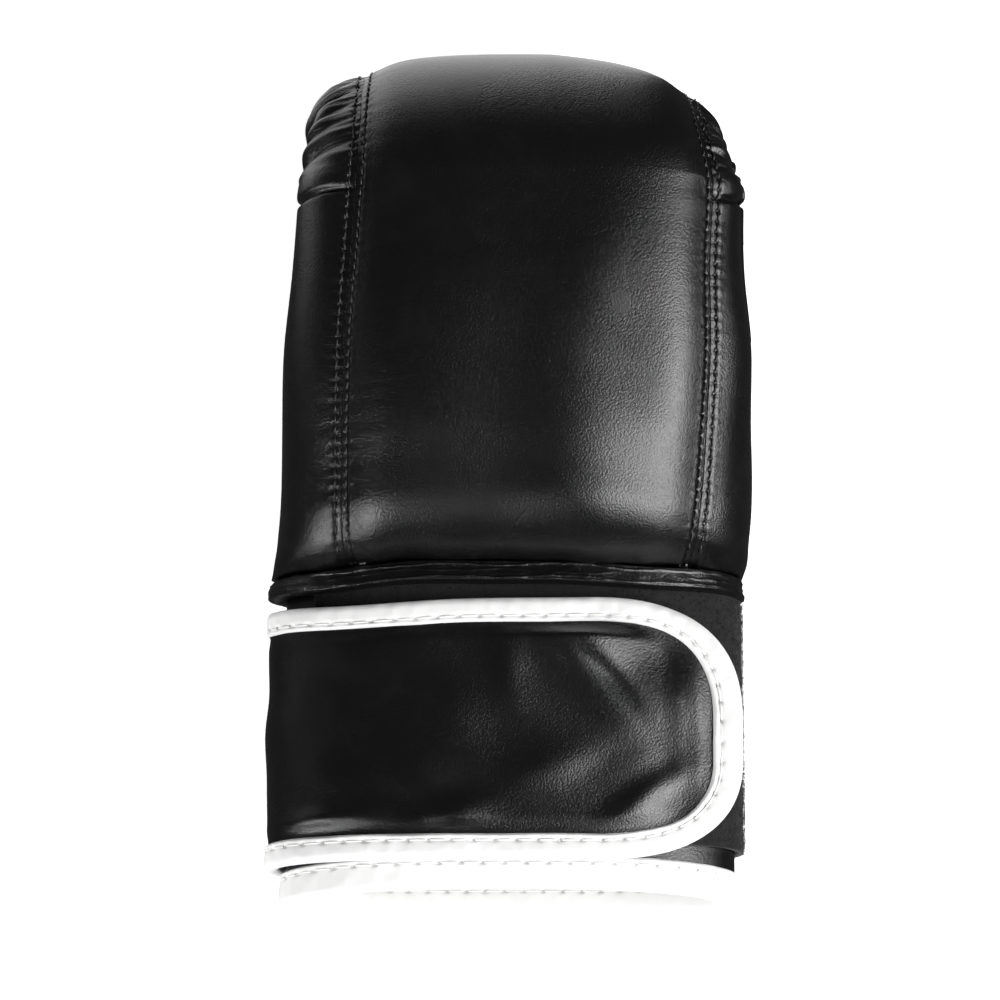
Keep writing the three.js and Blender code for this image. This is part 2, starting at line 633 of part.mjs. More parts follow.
// Lengths along the strap where it is cut into faces, closer together in the round end.
function strapStops(inset) {
  const start = line.total - TIP_LENGTH;
  const end = steps(0, Math.PI / 2, 9).map((a) => start + Math.sin(a) * (TIP_LENGTH - inset));
  return [...steps(0, start, 30).slice(0, -1), ...end];
}

// Strap: one layer of leather whose edges sit in the binding.
const STRAP_INSET = TAPE + GAP;
addPiece("strap", loft(strapStops(STRAP_INSET).map((length) => {
  const { low, high } = strapEdges(length, STRAP_INSET);
  const across = steps(low, high, 3);
  const face = (height) => across.map((y) => wrap(length, y, height));
  return [...face(-STRAP_THICKNESS / 2), ...face(STRAP_THICKNESS / 2).reverse()];
})), blackLeather);

// Strap binding: white tape folded over the strap's two long edges and its round end.
function strapBindingOutlines() {
  const lengths = strapStops(0);
  const lower = lengths.map((length) => ({ length, y: strapEdges(length, 0).low }));
  const upper = lengths.map((length) => ({ length, y: strapEdges(length, 0).high }));
  const path = [...lower, ...upper.reverse()];
  const half = STRAP_BINDING / 2;
  const slot = half - TAPE;
  return path.map((p, i) => {
    const before = path[Math.max(i - 1, 0)];
    const after = path[Math.min(i + 1, path.length - 1)];
    const along = new THREE.Vector2(after.length - before.length, after.y - before.y).normalize();
    const point = (inward, height) =>
      wrap(p.length - along.y * inward, p.y + along.x * inward, height);
    return [
      point(STRAP_BINDING_WIDTH, half), point(0, half),
      point(0, -half), point(STRAP_BINDING_WIDTH, -half),
      point(STRAP_BINDING_WIDTH, -slot), point(TAPE, -slot),
      point(TAPE, slot), point(STRAP_BINDING_WIDTH, slot),
    ];
  });
}
addPiece("strap_binding", loft(strapBindingOutlines()), whiteTape);

// Hook patch: on the strap's underside, where it grips the loop panel.
function hookPatch() {
  const end = line.total - TIP_LENGTH / 2;
  const lengths = steps(end - HOOK_LENGTH, end, 6);
  const top = -STRAP_THICKNESS / 2 - GAP;
  const low = STRAP_MIDDLE - HOOK_HEIGHT / 2;
  const high = STRAP_MIDDLE + HOOK_HEIGHT / 2;
  return loft(lengths.map((length) => [
    wrap(length, low, top), wrap(length, high, top),
    wrap(length, high, top - HOOK), wrap(length, low, top - HOOK),
  ]));
}
addPiece("hook_patch", hookPatch(), blackPile);

// The glove's origin is the middle of its footprint, on the floor.
const box = new THREE.Box3().setFromObject(glove);
const centre = box.getCenter(new THREE.Vector3());
glove.position.set(-centre.x, -centre.y, -box.min.z);

export default glove;
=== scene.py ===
import math

import bpy
import numpy as np
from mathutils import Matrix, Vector


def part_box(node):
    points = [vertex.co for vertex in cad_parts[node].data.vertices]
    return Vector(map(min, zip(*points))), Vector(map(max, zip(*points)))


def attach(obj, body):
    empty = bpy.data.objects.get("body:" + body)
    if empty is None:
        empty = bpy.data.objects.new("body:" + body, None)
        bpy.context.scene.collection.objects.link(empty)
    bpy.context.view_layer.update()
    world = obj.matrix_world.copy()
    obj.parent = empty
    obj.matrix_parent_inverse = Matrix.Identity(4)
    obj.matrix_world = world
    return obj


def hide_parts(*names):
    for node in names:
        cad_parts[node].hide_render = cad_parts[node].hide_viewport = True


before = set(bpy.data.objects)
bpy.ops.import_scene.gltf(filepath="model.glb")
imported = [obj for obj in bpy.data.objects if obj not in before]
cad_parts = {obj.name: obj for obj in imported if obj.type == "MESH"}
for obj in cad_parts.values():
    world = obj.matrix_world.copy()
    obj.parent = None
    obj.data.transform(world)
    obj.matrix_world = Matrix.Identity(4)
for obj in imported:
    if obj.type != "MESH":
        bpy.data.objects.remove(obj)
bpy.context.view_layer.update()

# Camera. The glove lies on its palm side and is seen from almost straight above, from a little on
# the cuff's side, through a long lens. Lengths on the glove are in millimetres from the middle of
# the cuff's rim, where the surface is, and to_frame puts them in the frame.
MM = 0.001
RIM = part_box("rim_binding")
RIM_MIDDLE = np.array([(RIM[0][0] + RIM[1][0]) / 2, RIM[0][1], 0.0])
CAMERA_ELEVATION = math.radians(78)
CAMERA_DISTANCE = 1250
CAMERA_TARGET = (-2.6, 112.6, 45.0)
CAMERA_NEAREST = 10
FRAME_WIDTH = 280  # that the picture shows at the target
SENSOR = 36


def to_frame(points):
    return np.asarray(points, dtype=float) * MM + RIM_MIDDLE


def look(item, place, target):
    item.location = place
    item.rotation_euler = (Vector(target) - Vector(place)).to_track_quat("-Z", "Y").to_euler()


def add_object(name, data):
    item = bpy.data.objects.new(name, data)
    bpy.context.scene.collection.objects.link(item)
    return item


target = to_frame(CAMERA_TARGET)
camera_data = bpy.data.cameras.new("camera")
camera_data.sensor_width = SENSOR
camera_data.lens = SENSOR * CAMERA_DISTANCE / FRAME_WIDTH
camera_data.clip_start = CAMERA_NEAREST * MM
camera = add_object("camera", camera_data)
back_off = np.array([0, -math.cos(CAMERA_ELEVATION), math.sin(CAMERA_ELEVATION)])
look(camera, target + back_off * CAMERA_DISTANCE * MM, target)
bpy.context.scene.camera = camera

# Floor, lights and sky of a small photo studio: a white sweep and large soft boxes round the glove,
# all in metres. The sweep is in three parts, of which the leather's gloss shows only floor_strip,
# beyond the fingers and to their left.
FLOOR_EDGE = 2.0
STRIP_FROM = 0.13
STRIP_RIGHT = 0.05
FLOOR_PARTS = [
    # name, left, near, right, far
    ("floor", -FLOOR_EDGE, -FLOOR_EDGE, FLOOR_EDGE, STRIP_FROM),
    ("floor_strip", -FLOOR_EDGE, STRIP_FROM, STRIP_RIGHT, FLOOR_EDGE),
    ("floor_right", STRIP_RIGHT, STRIP_FROM, FLOOR_EDGE, FLOOR_EDGE),
]
WHITE_SWEEP = (0.93, 0.93, 0.93, 1)
SWEEP_ROUGHNESS = 0.8
SWEEP_GLOW = 0.72
SKY = (1, 1, 1, 1)
SKY_STRENGTH = 0.05
LIGHTS = [
    # name, place, aimed at, width, length, watts, whether the leather's gloss shows it
    ("right_box", (0.77, -0.31, 0.69), (0.03, -0.01, 0.05), 0.95, 0.54, 16.0, True),
    ("far_box", (-0.45, 1.3, 0.10), (-0.05, 0.05, 0.03), 1.1, 0.2, 1.0, True),
    ("left_low_box", (-0.70, -0.70, 0.40), (-0.02, -0.02, 0.05), 0.26, 0.28, 4.6, True),
    ("left_box", (-1.2, 0.2, 0.25), (0.0, 0.0, 0.04), 0.9, 0.25, 0.1, True),
    ("left_fill", (-0.9, -0.5, 0.8), (0.0, 0.0, 0.04), 1.0, 0.6, 6.0, False),
]


def set_inputs(tree, node, inputs):
    """Gives each input its value, or links it to the output of another node."""
    for name, value in inputs.items():
        if isinstance(value, bpy.types.NodeSocket):
            tree.links.new(value, node.inputs[name])
        else:
            node.inputs[name].default_value = value


def new_material(name):
    material = bpy.data.materials.new(name)
    material.use_nodes = True
    return material, material.node_tree


def set_shader(tree, inputs):
    set_inputs(tree, tree.nodes["Principled BSDF"], inputs)


sweep, sweep_tree = new_material("white_sweep")
set_shader(sweep_tree, {
    "Base Color": WHITE_SWEEP,
    "Roughness": SWEEP_ROUGHNESS,
    "Emission Color": WHITE_SWEEP,
    "Emission Strength": SWEEP_GLOW,
})
for name, west, near, east, far in FLOOR_PARTS:
    floor_mesh = bpy.data.meshes.new(name)
    corners = [(west, near, 0), (east, near, 0), (east, far, 0), (west, far, 0)]
    floor_mesh.from_pydata(corners, [], [(0, 1, 2, 3)])
    floor_mesh.materials.append(sweep)
    floor = add_object(name, floor_mesh)
    floor.visible_glossy = name == "floor_strip"
for name, place, aim, width, length, watts, in_gloss in LIGHTS:
    light = bpy.data.lights.new(name, "AREA")
    light.shape = "RECTANGLE"
    light.size = width
    light.size_y = length
    light.energy = watts
    lamp = add_object(name, light)
    lamp.visible_glossy = in_gloss
    look(lamp, place, aim)
sky = bpy.data.worlds.new("sky")
sky.use_nodes = True
set_inputs(sky.node_tree, sky.node_tree.nodes["Background"], {"Color": SKY, "Strength": SKY_STRENGTH})
bpy.context.scene.world = sky
bpy.context.scene.view_settings.view_transform = "Standard"

# Black leather: a thin polyurethane skin on cloth, with a fine embossed grain, softly glossy. All
# the black panels, the thumb, the hem, the cuff and the strap are cut from it.
LEATHER_BLACK = (0.0018, 0.0018, 0.0021, 1)
LEATHER_RUBBED = (0.0042, 0.0042, 0.0047, 1)
LEATHER_ROUGHNESS = (0.25, 0.30)
LEATHER_SPECULAR = 0.78
GRAIN_CELL = 0.0006
GRAIN_BEND = 0.0002
GRAIN_DEPTH = 0.00007
WRINKLE = 0.012
WRINKLE_SHARE = 0.7  # of the grain's height
RUBBED_FROM, RUBBED_TO = 0.52, 0.75
PATCHES = 28
PATCH_FROM, PATCH_TO = 0.3, 0.7


def add_node(tree, kind, inputs, **settings):
    node = tree.nodes.new(kind)
    for key, value in settings.items():
        setattr(node, key, value)
    set_inputs(tree, node, inputs)
    return node


def add_noise(tree, scale, detail=2.0, distortion=0.0, output="Fac"):
    place = tree.nodes.new("ShaderNodeTexCoord").outputs["Object"]
    inputs = {"Vector": place, "Scale": scale, "Detail": detail, "Distortion": distortion}
    return add_node(tree, "ShaderNodeTexNoise", inputs).outputs[output]


def add_cells(tree, place, scale):
    inputs = {"Vector": place, "Scale": scale}
    return add_node(tree, "ShaderNodeTexVoronoi", inputs, feature="F1").outputs["Distance"]


def add_relief(tree, height, depth, strength=1.0):
    """The normal of a surface in relief, whose depth is in metres."""
    inputs = {"Height": height, "Distance": depth, "Strength": strength}
    return add_node(tree, "ShaderNodeBump", inputs).outputs["Normal"]


def grain_group():
    """The grain's height, a mask of its rubbed creases and its patches of gloss."""
    group = bpy.data.node_groups.new("leather_grain", "ShaderNodeTree")
    face = group.interface
    for name, value in (("Cell", GRAIN_CELL), ("Wrinkle", WRINKLE)):
        face.new_socket(name=name, in_out="INPUT", socket_type="NodeSocketFloat").default_value = value
    for name in ("Height", "Rubbed", "Patch"):
        face.new_socket(name=name, in_out="OUTPUT", socket_type="NodeSocketFloat")
    sizes = group.nodes.new("NodeGroupInput").outputs
    place = group.nodes.new("ShaderNodeTexCoord").outputs["Object"]

    def per(size, factor):
        return add_node(group, "ShaderNodeMath", {0: factor, 1: sizes[size]}, operation="DIVIDE").outputs[0]

    def multiply_add(kind, a, factor, b):
        return add_node(group, kind, {0: a, 1: factor, 2: b}, operation="MULTIPLY_ADD").outputs[0]

    bend = add_noise(group, per("Cell", 0.4), output="Color")
    bent_place = multiply_add("ShaderNodeVectorMath", bend, [GRAIN_BEND] * 3, place)
    cells = add_cells(group, bent_place, per("Cell", 1.0))
    pores = add_noise(group, per("Cell", 3.0), detail=3)
    creases = add_noise(group, per("Wrinkle", 1.0), detail=4, distortion=0.6)
    grain = multiply_add("ShaderNodeMath", cells, -1.0, pores)
    rubbed = add_node(group, "ShaderNodeMapRange", {
        "Value": creases, "From Min": RUBBED_FROM, "From Max": RUBBED_TO})
    add_node(group, "NodeGroupOutput", {
        "Height": multiply_add("ShaderNodeMath", creases, WRINKLE_SHARE, grain),
        "Rubbed": rubbed.outputs["Result"],
        "Patch": add_noise(group, PATCHES),
    })
    return group


leather_grain = grain_group()
black_leather, leather_tree = new_material("black_leather")
grain = add_node(leather_tree, "ShaderNodeGroup", {}, node_tree=leather_grain).outputs
tint = add_node(leather_tree, "ShaderNodeMix", {
    "A": LEATHER_BLACK, "B": LEATHER_RUBBED, "Factor": grain["Rubbed"]}, data_type="RGBA")
gloss = add_node(leather_tree, "ShaderNodeMapRange", {
    "Value": grain["Patch"],
    "From Min": PATCH_FROM,
    "From Max": PATCH_TO,
    "To Min": LEATHER_ROUGHNESS[0],
    "To Max": LEATHER_ROUGHNESS[1],
})
set_shader(leather_tree, {
    "Base Color": tint.outputs["Result"],
    "Roughness": gloss.outputs["Result"],
    "Normal": add_relief(leather_tree, grain["Height"], GRAIN_DEPTH),
    "Specular IOR Level": LEATHER_SPECULAR,
})

# Back pad: a leather skin over thick foam, bent round the fingers like a hook. Its cross-sections are
# rounded oblongs, set in a table from the hem (0) over the finger crease (1) and the turn (2) to the
# fingertips (3). The panel is drawn in along both seams and puffs up beside them.
LENGTH = 240
FIST_WIDTH = 132
FIST_HEIGHT = 92
KNUCKLE_DEPTH = 44
FINGER_DEPTH = 42
CREASE_RADIUS = 2.5
SKIN = 2.5
BACK_FOAM = 24
SIDE_FOAM = 10
GAP = 0.3
CUFF_LENGTH = 87
HEM_LENGTH = 6.2
HEM_TOP = CUFF_LENGTH + HEM_LENGTH
MITT_START = HEM_TOP + GAP
CREASE_Y = LENGTH - FINGER_DEPTH - CREASE_RADIUS
CREASE_Z = FIST_HEIGHT - KNUCKLE_DEPTH - CREASE_RADIUS
ROUND_ACROSS = 3.2
ROUND_UP = 2.2
ARCH_ACROSS = 5
ARCH_UP = 3.2
WIDEST = 0.46
ROOM_ENDS = 0.62
ROOM_CLOSES_OVER = 0.15
PALM_CORNER = math.radians(25)
FOAM_ENDS = math.radians(35)
SEAM_VALLEY_DEPTH = 2
SEAM_VALLEY_WIDTH = 8
SEAM_ROW = 1.85  # from the seam's join to each of its two rows of stitches
SEAM_PITCH = 3.0
SEAM_SEEDS = {1: 11, -1: 21}  # of the right seam and the left one
SKIN_STEPS = (0.6, 0.62, 1.2)  # on the hand, round the turn and on the fingers
HAND_COLUMNS = ("at", "back", "palm", "width", "shift", "left", "right", "foam", "side")
HAND = [
    (0, 0.665, 0.03, 0.998, 0, 0.69, 0.77, 0.24, 0.05),
    (0.03, 0.75, 0.05, 1, 0.001, 0.715, 0.785, 0.5, 0.1),
    (0.08, 0.81, 0.09, 0.992, 0.003, 0.735, 0.8, 0.68, 0.25),
    (0.17, 0.865, 0.185, 0.988, 0.008, 0.75, 0.81, 0.9, 0.85),
    (0.33, 0.925, 0.37, 0.994, 0.014, 0.755, 0.82, 1, 1),
    (0.55, 0.968, 0.62, 1, 0.018, 0.75, 0.84, 1, 1),
    (0.78, 0.995, 0.85, 0.978, 0.022, 0.75, 0.87, 0.95, 1),
    (1, 1, 1, 0.948, 0.026, 0.755, 0.89, 0.85, 1),
]
FINGER_COLUMNS = ("at", "lift", "depth", "width", "shift", "left", "right", "foam", "side")
FINGERS = [
    (0, 0, 1, 0.885, 0.01, 0.73, 0.87, 0.68, 1),
    (0.45, 0, 0.985, 0.88, 0.01, 0.73, 0.86, 0.66, 1),
    (0.7, 0.04, 0.9, 0.865, 0.01, 0.73, 0.85, 0.9, 1),
    (0.88, 0.13, 0.7, 0.83, 0.01, 0.72, 0.84, 1, 1),
    (0.97, 0.24, 0.46, 0.785, 0.01, 0.71, 0.82, 1, 1),
    (1, 0.32, 0.3, 0.76, 0.01, 0.7, 0.8, 1, 1),
]
HEM_WAVES = [
    # how far the mitt's lower edge lies up the hand: x of the middle, half width, height
    (44, 18, -1.0),
    (-10, 26, 0.4),
    (-52, 16, -1.3),
]
RIDGE_HEIGHT = 1.9
DENT = (30, 139)  # x and y of the middle of the soft dent below the ridge
DENT_ALONG = np.array([0.87, -0.5])
DENT_DEPTH = 0.7


def read_table(columns, rows, at):
    """Each column at the places at, on smooth curves that don't overshoot the rows."""
    stops = np.array([row[0] for row in rows], dtype=float)
    at = np.clip(at, stops[0], stops[-1])
    i = np.clip(np.searchsorted(stops, at, side="right") - 1, 0, len(stops) - 2)
    span = stops[i + 1] - stops[i]
    t = (at - stops[i]) / span
    out = {}
    for k, name in enumerate(columns):
        value = np.array([row[k] for row in rows], dtype=float)
        slope = np.diff(value) / np.diff(stops)
        tangent = np.empty(len(stops))
        tangent[0], tangent[-1] = slope[0], slope[-1]
        same = slope[:-1] * slope[1:] > 0
        total = np.where(same, slope[:-1] + slope[1:], 1)
        tangent[1:-1] = np.where(same, 2 * slope[:-1] * slope[1:] / total, 0)
        rise = value[i + 1] - value[i]
        m0, m1 = tangent[i] * span, tangent[i + 1] * span
        out[name] = value[i] + m0 * t + (3 * rise - 2 * m0 - m1) * t ** 2 + (m0 + m1 - 2 * rise) * t ** 3
    return out


def mix(a, b, t):
    return a + (b - a) * t


def bump(distance, spread):
    return np.exp(-((distance / spread) ** 2))


def ramp(value, start, run):
    """0 up to the start, then evenly up to 1 over the run."""
    return np.clip((value - start) / run, 0, 1)


def ease(t):
    return t * t * (3 - 2 * t)


def together(*fields):
    return np.stack(np.broadcast_arrays(*fields), axis=-1)


def unit(v):
    return v / np.maximum(np.linalg.norm(v, axis=-1, keepdims=True), 1e-9)


def lengths_along(points):
    """How far each point lies along its line, or along its row of a grid."""
    steps = np.linalg.norm(np.diff(points, axis=-2), axis=-1)
    return np.concatenate([np.zeros_like(steps[..., :1]), np.cumsum(steps, axis=-1)], axis=-1)


def at_lengths(at, lengths, line):
    """The line's columns at the places at, where its points have the given lengths."""
    return together(*(np.interp(at, lengths, column) for column in line.T))


def mitt_section(at):
    """Sections of the mitt, one for each place in at, as columns of one array each."""
    at = np.atleast_1d(np.asarray(at, dtype=float))[:, None]
    hand = read_table(HAND_COLUMNS, HAND, np.minimum(at, 1))
    fingers = read_table(FINGER_COLUMNS, FINGERS, np.maximum(at - 2, 0))
    bend = ramp(at, 1, 1)
    section = {k: mix(hand[k], fingers[k], bend) for k in ("left", "right")}
    crease = CREASE_Z + CREASE_RADIUS
    turn = bend * math.pi / 2
    depth = mix(hand["back"] * FIST_HEIGHT - hand["palm"] * crease, fingers["depth"] * FINGER_DEPTH, bend)
    round_y = CREASE_Y + CREASE_RADIUS * np.sin(turn)
    round_z = CREASE_Z + CREASE_RADIUS * np.cos(turn)
    section.update(
        at=at,
        turn=turn,
        y=np.where(at <= 1, mix(MITT_START, CREASE_Y, at), round_y),
        z=np.where(at <= 1, hand["palm"] * crease, round_z) - CREASE_Z * np.maximum(at - 2, 0),
        middle=fingers["lift"] * FINGER_DEPTH + WIDEST * depth,
        rise=(1 - WIDEST) * depth,
        drop=WIDEST * depth,
        half_width=mix(hand["width"], fingers["width"], bend) * FIST_WIDTH / 2,
        shift=mix(hand["shift"], fingers["shift"], bend) * FIST_WIDTH,
        foam=mix(hand["foam"], fingers["foam"], bend) * BACK_FOAM,
        side=mix(hand["side"], fingers["side"], bend) * SIDE_FOAM,
    )
    return section


def put(section, x, h):
    up = section["middle"] + h
    y = section["y"] + up * np.sin(section["turn"])
    return together(x + section["shift"], y, section["z"] + up * np.cos(section["turn"]))


def round_point(angle, half_width, rise, drop, across=ROUND_ACROSS, up=ROUND_UP):
    c, s = np.cos(angle), np.sin(angle)
    x = half_width * np.sign(c) * np.abs(c) ** (2 / across)
    return x, np.where(s > 0, rise, -drop) * np.abs(s) ** (2 / up)


def mitt_point(section, angle, inset):
    width = section["half_width"]
    x = round_point(angle, width, 1, 1)[0]
    left = bump(x + section["left"] * width, SEAM_VALLEY_WIDTH)
    right = bump(x - section["right"] * width, SEAM_VALLEY_WIDTH)
    drawn_in = SEAM_VALLEY_DEPTH * np.maximum(left, right) * np.minimum(section["rise"] / BACK_FOAM, 1)
    d = inset + np.where(np.sin(angle) > 0, drawn_in, 0)
    return put(section, *round_point(angle, width - d, section["rise"] - d, section["drop"] - inset))


def seam_angle(section, side):
    share = section["right"] if side > 0 else section["left"]
    angle = np.arccos(share ** (ROUND_ACROSS / 2))
    return angle if side > 0 else math.pi - angle


def even_angles(section, start, end, shares):
    """Angles between start and end whose points divide each section's outline in the given shares."""
    q = np.linspace(-1, 1, 1201)
    dense = np.arccos(np.sign(q) * np.abs(q) ** (ROUND_ACROSS / 2))
    dense = np.concatenate([dense, np.linspace(0, math.pi, 400)])
    dense = np.unique(np.concatenate([dense, -dense, 2 * math.pi - dense]))
    out = np.empty((len(section["at"]), len(shares)))
    for r in range(len(out)):
        a, b = float(start[r, 0]), float(end[r, 0])
        low, high = min(a, b), max(a, b)
        angles = np.concatenate([[low], dense[(dense > low) & (dense < high)], [high]])
        if a > b:
            angles = angles[::-1]
        row = {k: v[r:r + 1] for k, v in section.items()}
        length = lengths_along(mitt_point(row, angles[None, :], 0)[0])
        out[r] = np.interp(np.asarray(shares) * length[-1], length, angles)
    return out


def graded(total, fine, coarse, reach, both=True):
    """Shares of a length that lie fine apart near its start, and its end too, and coarse apart beyond."""
    steps, x = [0.0], 0.0
    while x < (total / 2 if both else total):
        x += mix(fine, coarse, ramp(x, reach, 2 * reach))
        steps.append(x)
    steps = np.array(steps) / steps[-1]
    return np.concatenate([steps / 2, 1 - steps[-2::-1] / 2]) if both else steps


def places_along(hand_step, turn_step, finger_step):
    """Places from the hem to the fingertips, about so many millimetres apart on the back."""
    hand = np.linspace(0, 1, int((CREASE_Y - MITT_START) / hand_step))[:-1]
    hand = hand - 0.04 * np.sin(2 * np.pi * hand) / (2 * np.pi)
    turn = np.linspace(1, 2, int(math.pi / 2 * (FINGER_DEPTH + CREASE_RADIUS) / turn_step))[:-1]
    fingers = 2 + np.sin(np.linspace(0, math.pi / 2, int(CREASE_Z / finger_step)))
    return np.concatenate([hand, turn, fingers])


def smooth_noise(seed, *fields, waves=7):
    """A few sine waves of random direction over the given fields, about 1 high."""
    draws = np.random.default_rng(seed)
    out = 0
    for _ in range(waves):
        phase = draws.uniform(0, 2 * np.pi)
        for field in fields:
            phase = phase + draws.uniform(-1, 1) * 2 * np.pi * field
        out = out + np.sin(phase)
    return out / math.sqrt(waves)


def grid_normals(p):
    return unit(np.cross(np.gradient(p, axis=0), np.gradient(p, axis=1)))


def needle_holes(t, pitch):
    """A wave that is 1 at each needle hole and 0 halfway between two, and the narrower hole itself."""
    beat = 0.5 + 0.5 * np.cos(2 * np.pi * t / pitch)
    return beat, np.clip(beat * 1.6 - 0.6, 0, 1)


def seam_relief(s, t, side):
    """Height of the leather beside a seam: s is the distance from the join and t runs along it."""
    seed = SEAM_SEEDS[side]
    beat, hole = needle_holes(t, SEAM_PITCH)
    uneven = 1 + 0.35 * smooth_noise(seed, t / 9)
    past_row = np.maximum(s - SEAM_ROW, 0)
    # the leather sinks to the join, and in a pit at each needle hole
    out = -0.25 * np.clip(1 - (s / SEAM_ROW) ** 2, 0, 1) - (0.04 + 0.6 * hole) * bump(s - SEAM_ROW, 0.45)
    out = out - 0.12 * uneven * hole * np.clip(1 - s / SEAM_ROW, 0, 1)
    # it swells between the holes, puckers past the row and puffs up over the foam
    out = out + uneven * 0.14 * (1 - beat) * bump(s - SEAM_ROW - 1.2, 0.9)
    pucker = smooth_noise(seed + 1, t / 5.5) * 0.16 + smooth_noise(seed + 2, t / 2.8) * 0.07
    out = out + pucker * (1 - np.exp(-past_row / 1.5)) * np.exp(-s / 4.5)
    return out + 0.5 * (1 - np.exp(-past_row / 3.0)) * np.exp(-s / 11)


def new_piece(name, points, faces, material):
    """A smooth mesh object at the origin, with its faces turned outwards."""
    points = to_frame(points)
    points[:, 2] = np.maximum(points[:, 2], 0)
    mesh = bpy.data.meshes.new(name)
    mesh.from_pydata(points.tolist(), [], [list(face) for face in faces])
    mesh.update()
    mesh.calc_loop_triangles()
    triangles = np.empty(len(mesh.loop_triangles) * 3, dtype=np.int64)
    mesh.loop_triangles.foreach_get("vertices", triangles)
    a, b, c = (points[triangles[k::3]] - points.mean(axis=0) for k in range(3))
    if np.einsum("ij,ij->", a, np.cross(b, c)) < 0:
        mesh.flip_normals()
    mesh.polygons.foreach_set("use_smooth", np.ones(len(mesh.polygons), dtype=bool))
    mesh.materials.append(material)
    mesh.update()
    return add_object(name, mesh)


def numbers(grid):
    return np.arange(grid[..., 0].size).reshape(grid.shape[:2])


def quads(index):
    """Faces between the neighbours in a grid of point numbers."""
    corners = [index[:-1, :-1], index[:-1, 1:], index[1:, 1:], index[1:, :-1]]
    return np.stack(corners, axis=-1).reshape(-1, 4)


def closed_sheet(name, outer, inner, material):
    """A closed solid between two grids of points that lie in pairs, in millimetres."""
    index = numbers(outer)
    top = quads(index)
    rim = np.concatenate([index[0, :], index[1:, -1], index[-1, -2::-1], index[-2:0:-1, 0]])
    ahead = np.roll(rim, -1)
    sides = np.stack([ahead, rim, rim + index.size, ahead + index.size], axis=-1)
    points = np.concatenate([outer.reshape(-1, 3), inner.reshape(-1, 3)])
    return new_piece(name, points, np.concatenate([top, top[:, ::-1] + index.size, sides]), material)


def ring_sheet(name, outlines, material):
    """A closed ring: outlines[i] is the closed outline of its cross-section at the i-th place round it."""
    faces = quads(np.pad(numbers(outlines), (0, 1), mode="wrap"))
    return new_piece(name, outlines.reshape(-1, 3), faces, material)


def row_at(field, distance, where):
    """The values of a field of the skin at a distance from the seam, one for each row of the grid."""
    if distance[0, 0] > distance[0, -1]:
        field, distance = field[:, ::-1], distance[:, ::-1]
    return np.array([at_lengths(where, d, f) for d, f in zip(distance, field)])


def dress(piece, node):
    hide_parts(node)
    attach(piece, "root")


def arch_point(section, shares):
    """The foam's inside, from the left foot of the arch over the hand to its right foot."""
    floor = -(section["drop"] - SKIN - GAP)
    closing = np.clip((ROOM_ENDS + 2 - section["at"]) / ROOM_CLOSES_OVER, 0, 1)
    height = np.maximum(section["rise"] - section["foam"] - floor, 0) * closing
    outside = section["half_width"] - SKIN - GAP
    angle = math.pi * (1 - np.asarray(shares)[None, :])
    x, h = round_point(angle, outside - section["side"], height, 0, ARCH_ACROSS, ARCH_UP)
    lowest = floor * (1 - (np.abs(x) / outside) ** ROUND_ACROSS) ** (1 / ROUND_UP)
    return put(section, x, np.maximum(floor + h, lowest))


def back_relief(p, s_right, s_left):
    """Relief of the back panel: its two seams, soft swells in the foam and tucks above the hem."""
    x, y, z = np.moveaxis(p, -1, 0)
    out = seam_relief(s_right, SEAM_RUN[1][:, None], 1) + seam_relief(s_left, SEAM_RUN[-1][:, None], -1)
    fade = (1 - np.exp(-s_right / 12)) * (1 - np.exp(-s_left / 12))
    out = out + 0.35 * fade * smooth_noise(31, x / 60, (y + z) / 75)
    on_back = fade * ramp(z, 45, 20)
    ridge = 19 + 15 * ramp(y, 140, 55) ** 1.5
    out = out + RIDGE_HEIGHT * on_back * bump(x - ridge, 15) * bump(y - 130, 60)
    along = (x - DENT[0]) * DENT_ALONG[0] + (y - DENT[1]) * DENT_ALONG[1]
    across = (y - DENT[1]) * DENT_ALONG[0] - (x - DENT[0]) * DENT_ALONG[1]
    out = out - DENT_DEPTH * on_back * bump(across, 7) * bump(along, 20)
    above_hem = np.maximum(y - MITT_START, 0)
    return out + 0.32 * smooth_noise(41, x / 11) * np.exp(-above_hem / 4.5) * (z > 30)


def sag(p):
    """The mitt bulges over its hem, most on the right, and is a little narrower at the knuckles."""
    x, y, z = np.moveaxis(p, -1, 0)
    at_hem = bump(y - 91, 14)
    wave = -0.9 + sum(height * bump(x - middle, spread) for middle, spread, height in HEM_WAVES)
    wave = wave + 0.25 * smooth_noise(51, x / 23)
    to_right = ramp(x, 12, 30)
    full = (1.5 + 1.2 * ramp(x, -5, 30)) * (1 - 0.6 * bump(y - 91, 3))
    far = ramp(np.abs(x), 40, 16)
    narrower = 2.4 * ramp(y, 200, 32) * ramp(x, 25, 35) - 1.2 * bump(y - 107, 20) * ramp(x, 22, 36)
    for middle, spread, right, left in ((172, 22, 1.9, -0.9), (209, 13, 1.3, -1.2), (90, 4.5, 0.8, 2.0)):
        narrower = narrower + np.where(x > 0, right, left) * far * bump(y - middle, spread)
    return together(
        x - narrower,
        y + wave * at_hem * ramp(z, 20, 15) - 2.4 * to_right * ramp(y, 205, 25),
        z + full * bump(y - 105 + 3 * to_right, 9) * ramp(z, 30, 30),
    )


